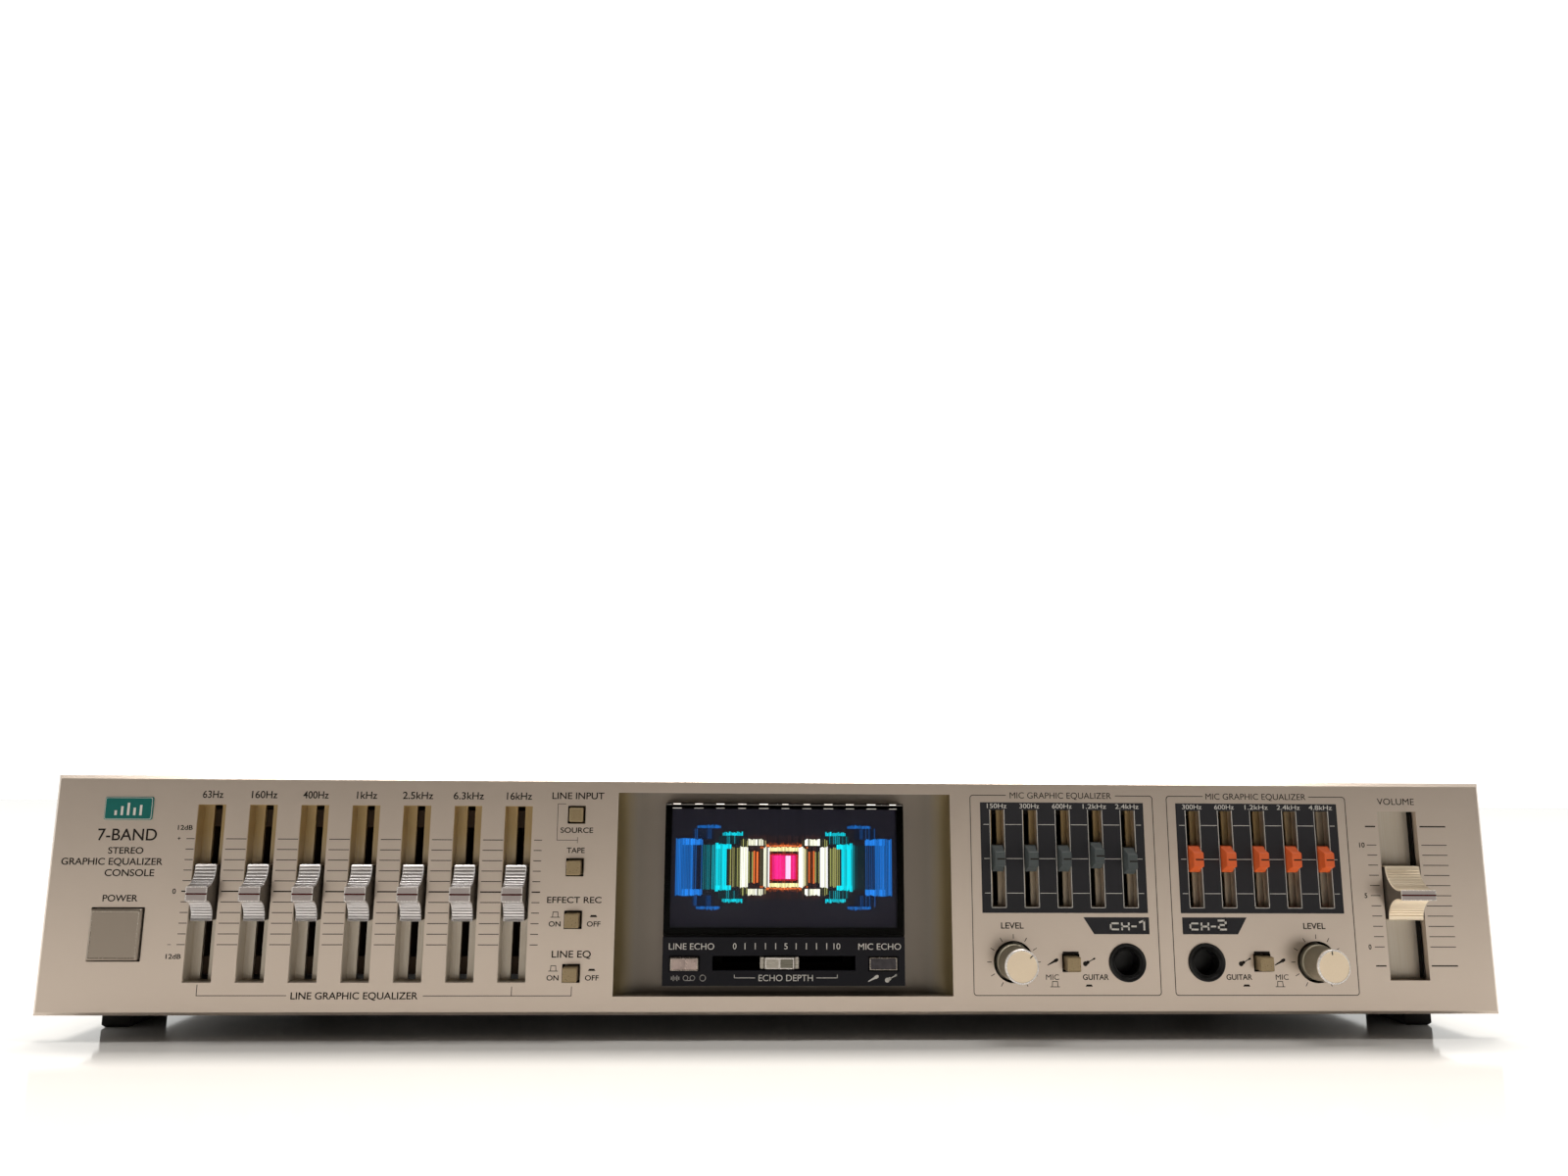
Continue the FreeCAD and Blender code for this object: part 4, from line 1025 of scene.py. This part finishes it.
def jacks():
    """Black jack sockets with a stepped ring, a flared mouth and a spring contact inside."""
    bm = bmesh.new()
    for x, z in JACKS:
        lathe(bm, x, z, [(5, 5.6), (5, 0), (5.55, 0), (5.55, -0.45), (5.4, -0.75),
                         (5.1, -0.8), (4.75, -0.55), (4.6, -0.62), (4.35, -0.3), (4.2, -0.38),
                         (3.9, 0), (3.75, -0.05), (3.6, 0.4), (3.6, 6), (3.25, 6.02),
                         (3.25, 27.9), (3, 28)], 72)
        slab(bm, x, z, [(28.1, 6, 6), (30, 14, 14.6)], 0.5)
        slab(bm, x, z, [(5.61, 13.6, 14.2), (5.9, 14, 14.6), (28, 14, 14.6)], 0.5)
    piece("jack_sockets", bm, "jack", node="mic_jacks")


# ---- display ----
LIGHT = {"pink": (1, 0.02, 0.22), "rose": (1, 0.62, 0.90), "red": (0.50, 0.01, 0.02),
         "orange": (1, 0.20, 0.04), "cream": (1, 0.88, 0.38), "white": (1, 1, 0.72),
         "olive": (0.44, 0.46, 0.12), "cyan": (0, 0.60, 0.66), "blue": (0.01, 0.17, 0.58),
         "ember": (0.035, 0.012, 0.008)}
DISPLAY_Z = 41.85
COLUMN_PITCH = 0.46
# colour, from and to sideways, from and to upwards from the centre, strength, share lit
BANDS = (("ember", 0, 11, 7.1, 9.4, 1, 0.8), ("ember", 5, 12, 0, 6.4, 1, 0.8),
         ("pink", 0, 3.6, 0, 3.5, 0.95, 1), ("red", 3.6, 4.3, 0, 3.8, 1, 1),
         ("red", 0, 3.6, 3.5, 4, 0.9, 1), ("orange", 0, 4.4, 4.1, 4.8, 0.3, 0.7),
         ("cream", 0, 4.4, 4.7, 6, 1.15, 1), ("orange", 0, 5.4, 6, 6.6, 0.8, 1),
         ("orange", 0, 7, 6.6, 7.1, 0.25, 0.8),
         ("white", 4.4, 6.2, 0, 5.9, 1.1, 0.9), ("cream", 6.2, 7.3, 0, 5.5, 0.8, 0.5),
         ("orange", 6.2, 7.3, 5.5, 6.2, 0.6, 0.9), ("orange", 7.4, 9.3, 0, 4.7, 0.7, 0.85),
         ("olive", 9.3, 10.9, 0, 4.6, 0.8, 0.5), ("white", 10.9, 13.3, 0, 6, 1.2, 1),
         ("white", 6.3, 10.9, 6.4, 8.2, 1, 0.85), ("cream", 5.4, 6.4, 6.4, 8, 0.4, 0.5),
         ("olive", 10.9, 13.3, 6, 8.1, 0.9, 0.5), ("cream", 13.3, 16.4, 0, 5.7, 0.5, 0.5),
         ("olive", 13.3, 17, 0, 5.6, 0.6, 0.7),
         ("cyan", 17.4, 20.4, 0, 6.5, 1, 1), ("cyan", 20.4, 22.4, 0, 6.5, 0.7, 0.6),
         ("cyan", 16, 20.8, 5.4, 6.9, 1.2, 1), ("cyan", 12.5, 18.7, 9.3, 10.3, 0.9, 1),
         ("cyan", 13.6, 19.8, 6.9, 9.3, 0.35, 0.5), ("cyan", 22.4, 25.2, 0, 6.4, 0.3, 0.5),
         ("blue", 27.6, 32.8, 0, 8.3, 0.75, 1), ("blue", 24.6, 30.8, 6.5, 8.3, 1.1, 1),
         ("blue", 19.2, 26.4, 11.5, 12.4, 0.6, 1), ("blue", 21.4, 27.8, 8.3, 11.5, 0.35, 0.5),
         ("blue", 24.6, 27.6, 0, 6.5, 0.35, 0.6))
FULL_SHARE = 0.8                 # a band lit more than this has broad, close bars
UNLIT = 0.12                     # strength of a bar that is out


def light_bar(bm, paint, x, half, z0, z1, colour, y):
    """One lit bar, painted with its own colour."""
    before = len(bm.faces)
    bar(bm, x - half, x + half, y, y + 0.02, DISPLAY_Z + z0, DISPLAY_Z + z1)
    bm.faces.ensure_lookup_table()
    for face in bm.faces[before:]:
        for loop in face.loops:
            loop[paint] = (*colour, 1.0)


def display_pattern():
    """Nested bands of fine upright light bars, alike on both sides and above and below."""
    draw = random.Random(7)
    bm = bmesh.new()
    paint = bm.loops.layers.float_color.new(LIGHT_LAYER)
    for depth, (key, x0, x1, z0, z1, strength, share) in enumerate(BANDS):
        full = share > FULL_SHARE
        pitch = COLUMN_PITCH * (1.0 if full else 1.2)
        count = max(1, round((x1 - x0) / pitch))
        for i in range(count):
            x = x0 + (i + 0.5) * (x1 - x0) / count
            half = COLUMN_PITCH * (draw.uniform(0.38, 0.5) if full else draw.uniform(0.2, 0.34))
            fade = draw.uniform(-0.25, 0.25) if z1 > 4 else 0.0
            for side in (-1, 1):
                power = strength * (draw.uniform(0.6, 1.2) if draw.random() < share else UNLIT)
                colour = shade(LIGHT[key], power)
                for a, b in mirrored(z0, z1 + fade):
                    light_bar(bm, paint, side * x, half, a, b, colour, 5.58 - 0.022 * depth)
    light_bar(bm, paint, 1.2, 0.75, -3.4, 3.4, LIGHT["rose"], 4.8)
    light_bar(bm, paint, 0.0, 35.4, -19.0, 18.4, (0.006, 0.0055, 0.0085), 5.6)
    piece("display_light", bm, "light")


def mirrored(z0, z1):
    """The stretches above and below the centre, or one across it."""
    return [(z0, z1), (-z1, -z0)] if z0 else [(-z1, z1)]


def window_trim():
    """Painted glints: glowing strips along the window's top bevel that stand in for the display's
    light refracted there, and the seam under it.
    """
    draw = random.Random(11)
    bm = bmesh.new()
    paint = bm.loops.layers.float_color.new(LIGHT_LAYER)
    for i in range(11):
        x = -32.4 + 6.5 * i
        for z, tall, long, strength in ((60.42, 0.3, 2.6, 0.9), (59.3, 0.14, 3.2, 0.4)):
            colour = shade((1.0, 0.93, 0.82), strength * draw.uniform(0.6, 1.0))
            half = long / 2 * draw.uniform(0.7, 1.0)
            light_bar(bm, paint, x, half, z - DISPLAY_Z, z + tall - DISPLAY_Z, colour,
                      0.08 if z > 60 else -0.03)
    # A dim glowing line along the window's top edge: painted highlight.
    light_bar(bm, paint, 0.0, 35.6, 18.5, 18.66, (0.09, 0.08, 0.07), 0.06)
    piece("window_bevel_glints", bm, "light")
    seam = bmesh.new()
    bar(seam, -35.7, 35.7, 0.6, 2.4, 22.12, 22.58)
    for x in (-26.0, 25.3):
        bar(seam, x - 0.1, x + 0.1, -0.02, 0.1, 22.7, 23.9)
    piece("window_seam", seam, "deep")


def display():
    refine("display_housing", "deep", 0.2)
    refine("display_window", "glass", 0.25, 3)
    refine("echo_fascia", "fascia", 0.12)
    refine("display_screen", "screen", 0.1)
    display_pattern()
    window_trim()


# ---- shells ----
COVE_STEPS = 16


def surround():
    """The dish behind the panel's opening: a wide coved sweep down each side of the display."""
    low, high = local_box("display_surround")
    block_low, block_high = local_box("display_housing")
    wide, tall = 50.0, (5.3, 63.8)
    front, floor_y, back = low.y, 8.0, high.y
    reach = wide - block_high.x - 1.2
    bm = bmesh.new()
    for side in (-1, 1):
        profile = [(high.x, front), (high.x, back), (block_high.x, back), (block_high.x, floor_y)]
        for i in range(COVE_STEPS + 1):
            angle = math.radians(90 * i / COVE_STEPS)
            profile.append((wide - reach * (1 - math.sin(angle)),
                            floor_y - (floor_y - 0.4) * (1 - math.cos(angle))))
        loft(bm, [[at(side * px, max(py, 0.4), z) for px, py in profile] for z in tall])
    for z0, z1 in ((low.z, tall[0]), (tall[1], high.z)):
        bar(bm, low.x, high.x, front, back, z0, z1)
    for z0, z1 in ((tall[0], block_low.z), (block_high.z, tall[1])):
        bar(bm, block_low.x, block_high.x, floor_y, back, z0, z1)
    piece("surround_dish", bm, "surround", node="display_surround")


def shells():
    refine("front_panel", "panel", 0.14)
    surround()
    for node, key, edge in (("top_cover", "cover", 0.45), ("rear_panel", "rear", 0.2),
                            ("chassis_pan", "pan", 0.2), ("feet", "rubber", 0.25),
                            ("phono_block", "black", 0.3), ("mains_gland", "black", 0.4),
                            ("cover_screws", "screw", 0.15), ("case_screws", "screw", 0.15),
                            ("phono_sockets", "nickel", 0.25)):
        refine(node, key, edge)


def rear_details():
    """White and red insulators in the phono sockets, and plain words on the rear panel."""
    tip, back = local_box("phono_sockets")[1].y, local_box("rear_panel")[1].y
    words = bmesh.new()
    for row, key, side in ((1, "white_plastic", "L"), (-1, "red_plastic", "R")):
        bm = bmesh.new()
        for i in range(4):
            washer(bm, 92.7 + 18.2 * i, 34 + 7 * row, 1.65, 2.9, tip - 0.6, tip + 0.15)
        piece("phono_insulators_" + side, bm, key)
        add_text(words, side, -160.5, 33 + 7 * row, 1.6, 2.2)
    for i, word in enumerate(("PLAY", "REC", "OUT", "IN")):
        add_text(words, word, -147.3 + 18.2 * i, 51.5, 2.0 * len(word), 2.2)
    x, z = middle_xz("mains_gland")
    add_text(words, "AC", -x, z + 9.5, 4.4, 2.2)
    turn(words, 180, "Z", at(0, back / 2, 0))
    piece("rear_lettering", words, "white_ink")


# ---- stage ----
CAMERA_AT = (-14.3, -351.6, 64.7)
CAMERA_TURN, CAMERA_TILT, CAMERA_ROLL = 2.214, 10.02, 0.348
CAMERA_LENS, CAMERA_SENSOR = 26.33, 36.0


def camera():
    data = bpy.data.cameras.new("camera")
    data.lens = CAMERA_LENS
    data.sensor_width = CAMERA_SENSOR
    eye = new_object("camera", data)
    eye.matrix_world = (Matrix.Translation(at(*CAMERA_AT)) @ rotation(-CAMERA_TURN, "Z")
                        @ rotation(90 + CAMERA_TILT, "X") @ rotation(CAMERA_ROLL, "Z"))
    bpy.context.scene.camera = eye


def floor():
    bm = bmesh.new()
    bmesh.ops.create_grid(bm, x_segments=1, y_segments=1, size=6.0)
    m = surface("floor")
    m.feed("Base Color", m.tint(m.noise(3, 2.0), (0.86, 0.85, 0.83), (0.90, 0.89, 0.87)))
    m.set(Roughness=0.09, Specular_IOR_Level=0.5)
    obj = mesh_object("floor", bm, m.owner)


def lamp(name, place, aim, size, power, colour):
    data = bpy.data.lights.new(name, "AREA")
    data.shape = "RECTANGLE"
    data.size, data.size_y = size
    data.energy = power
    data.color = colour
    obj = new_object(name, data)
    obj.location = place
    obj.rotation_euler = (Vector(aim) - Vector(place)).to_track_quat("-Z", "Y").to_euler()


OVERHEAD_SHARE = -0.8            # how far overhead counts as in front


def world():
    """White behind the object, dim and warm in front of it and overhead."""
    w = Nodes(bpy.data.worlds.new("studio"), "Background", "Generated")
    bpy.context.scene.world = w.owner
    place = w.axes()
    lean = w.add("ShaderNodeMath", operation="MULTIPLY_ADD")
    lean.inputs[1].default_value = OVERHEAD_SHARE
    w.link(place["Z"], lean.inputs[0])
    w.link(place["Y"], lean.inputs[2])
    behind = w.spread(lean.outputs[0], 0.0, 1.0, -0.97, -0.2)
    w.feed("Color", w.tint(behind, (0.09, 0.074, 0.060), (1.15, 1.15, 1.12)))


def stage():
    bpy.context.scene.view_settings.view_transform = "Standard"
    camera()
    floor()
    world()
    lamp("fill", (0, -0.17, 1.4), (0, -0.14, 0.03), (1.4, 0.12), 9.0, (1.0, 0.97, 0.93))
    lamp("top", (0, 0.26, 1.5), (0, -0.1, 0), (1.8, 0.34), 27, (1.0, 0.955, 0.90))


paint_cad()
stage()
shells()
printing()
badge()
line_sliders()
mic_sliders()
volume_slider()
echo_slider()
level_knob("ch1", 45)
level_knob("ch2", -5)
rear_details()
buttons()
liners()
jacks()
display()
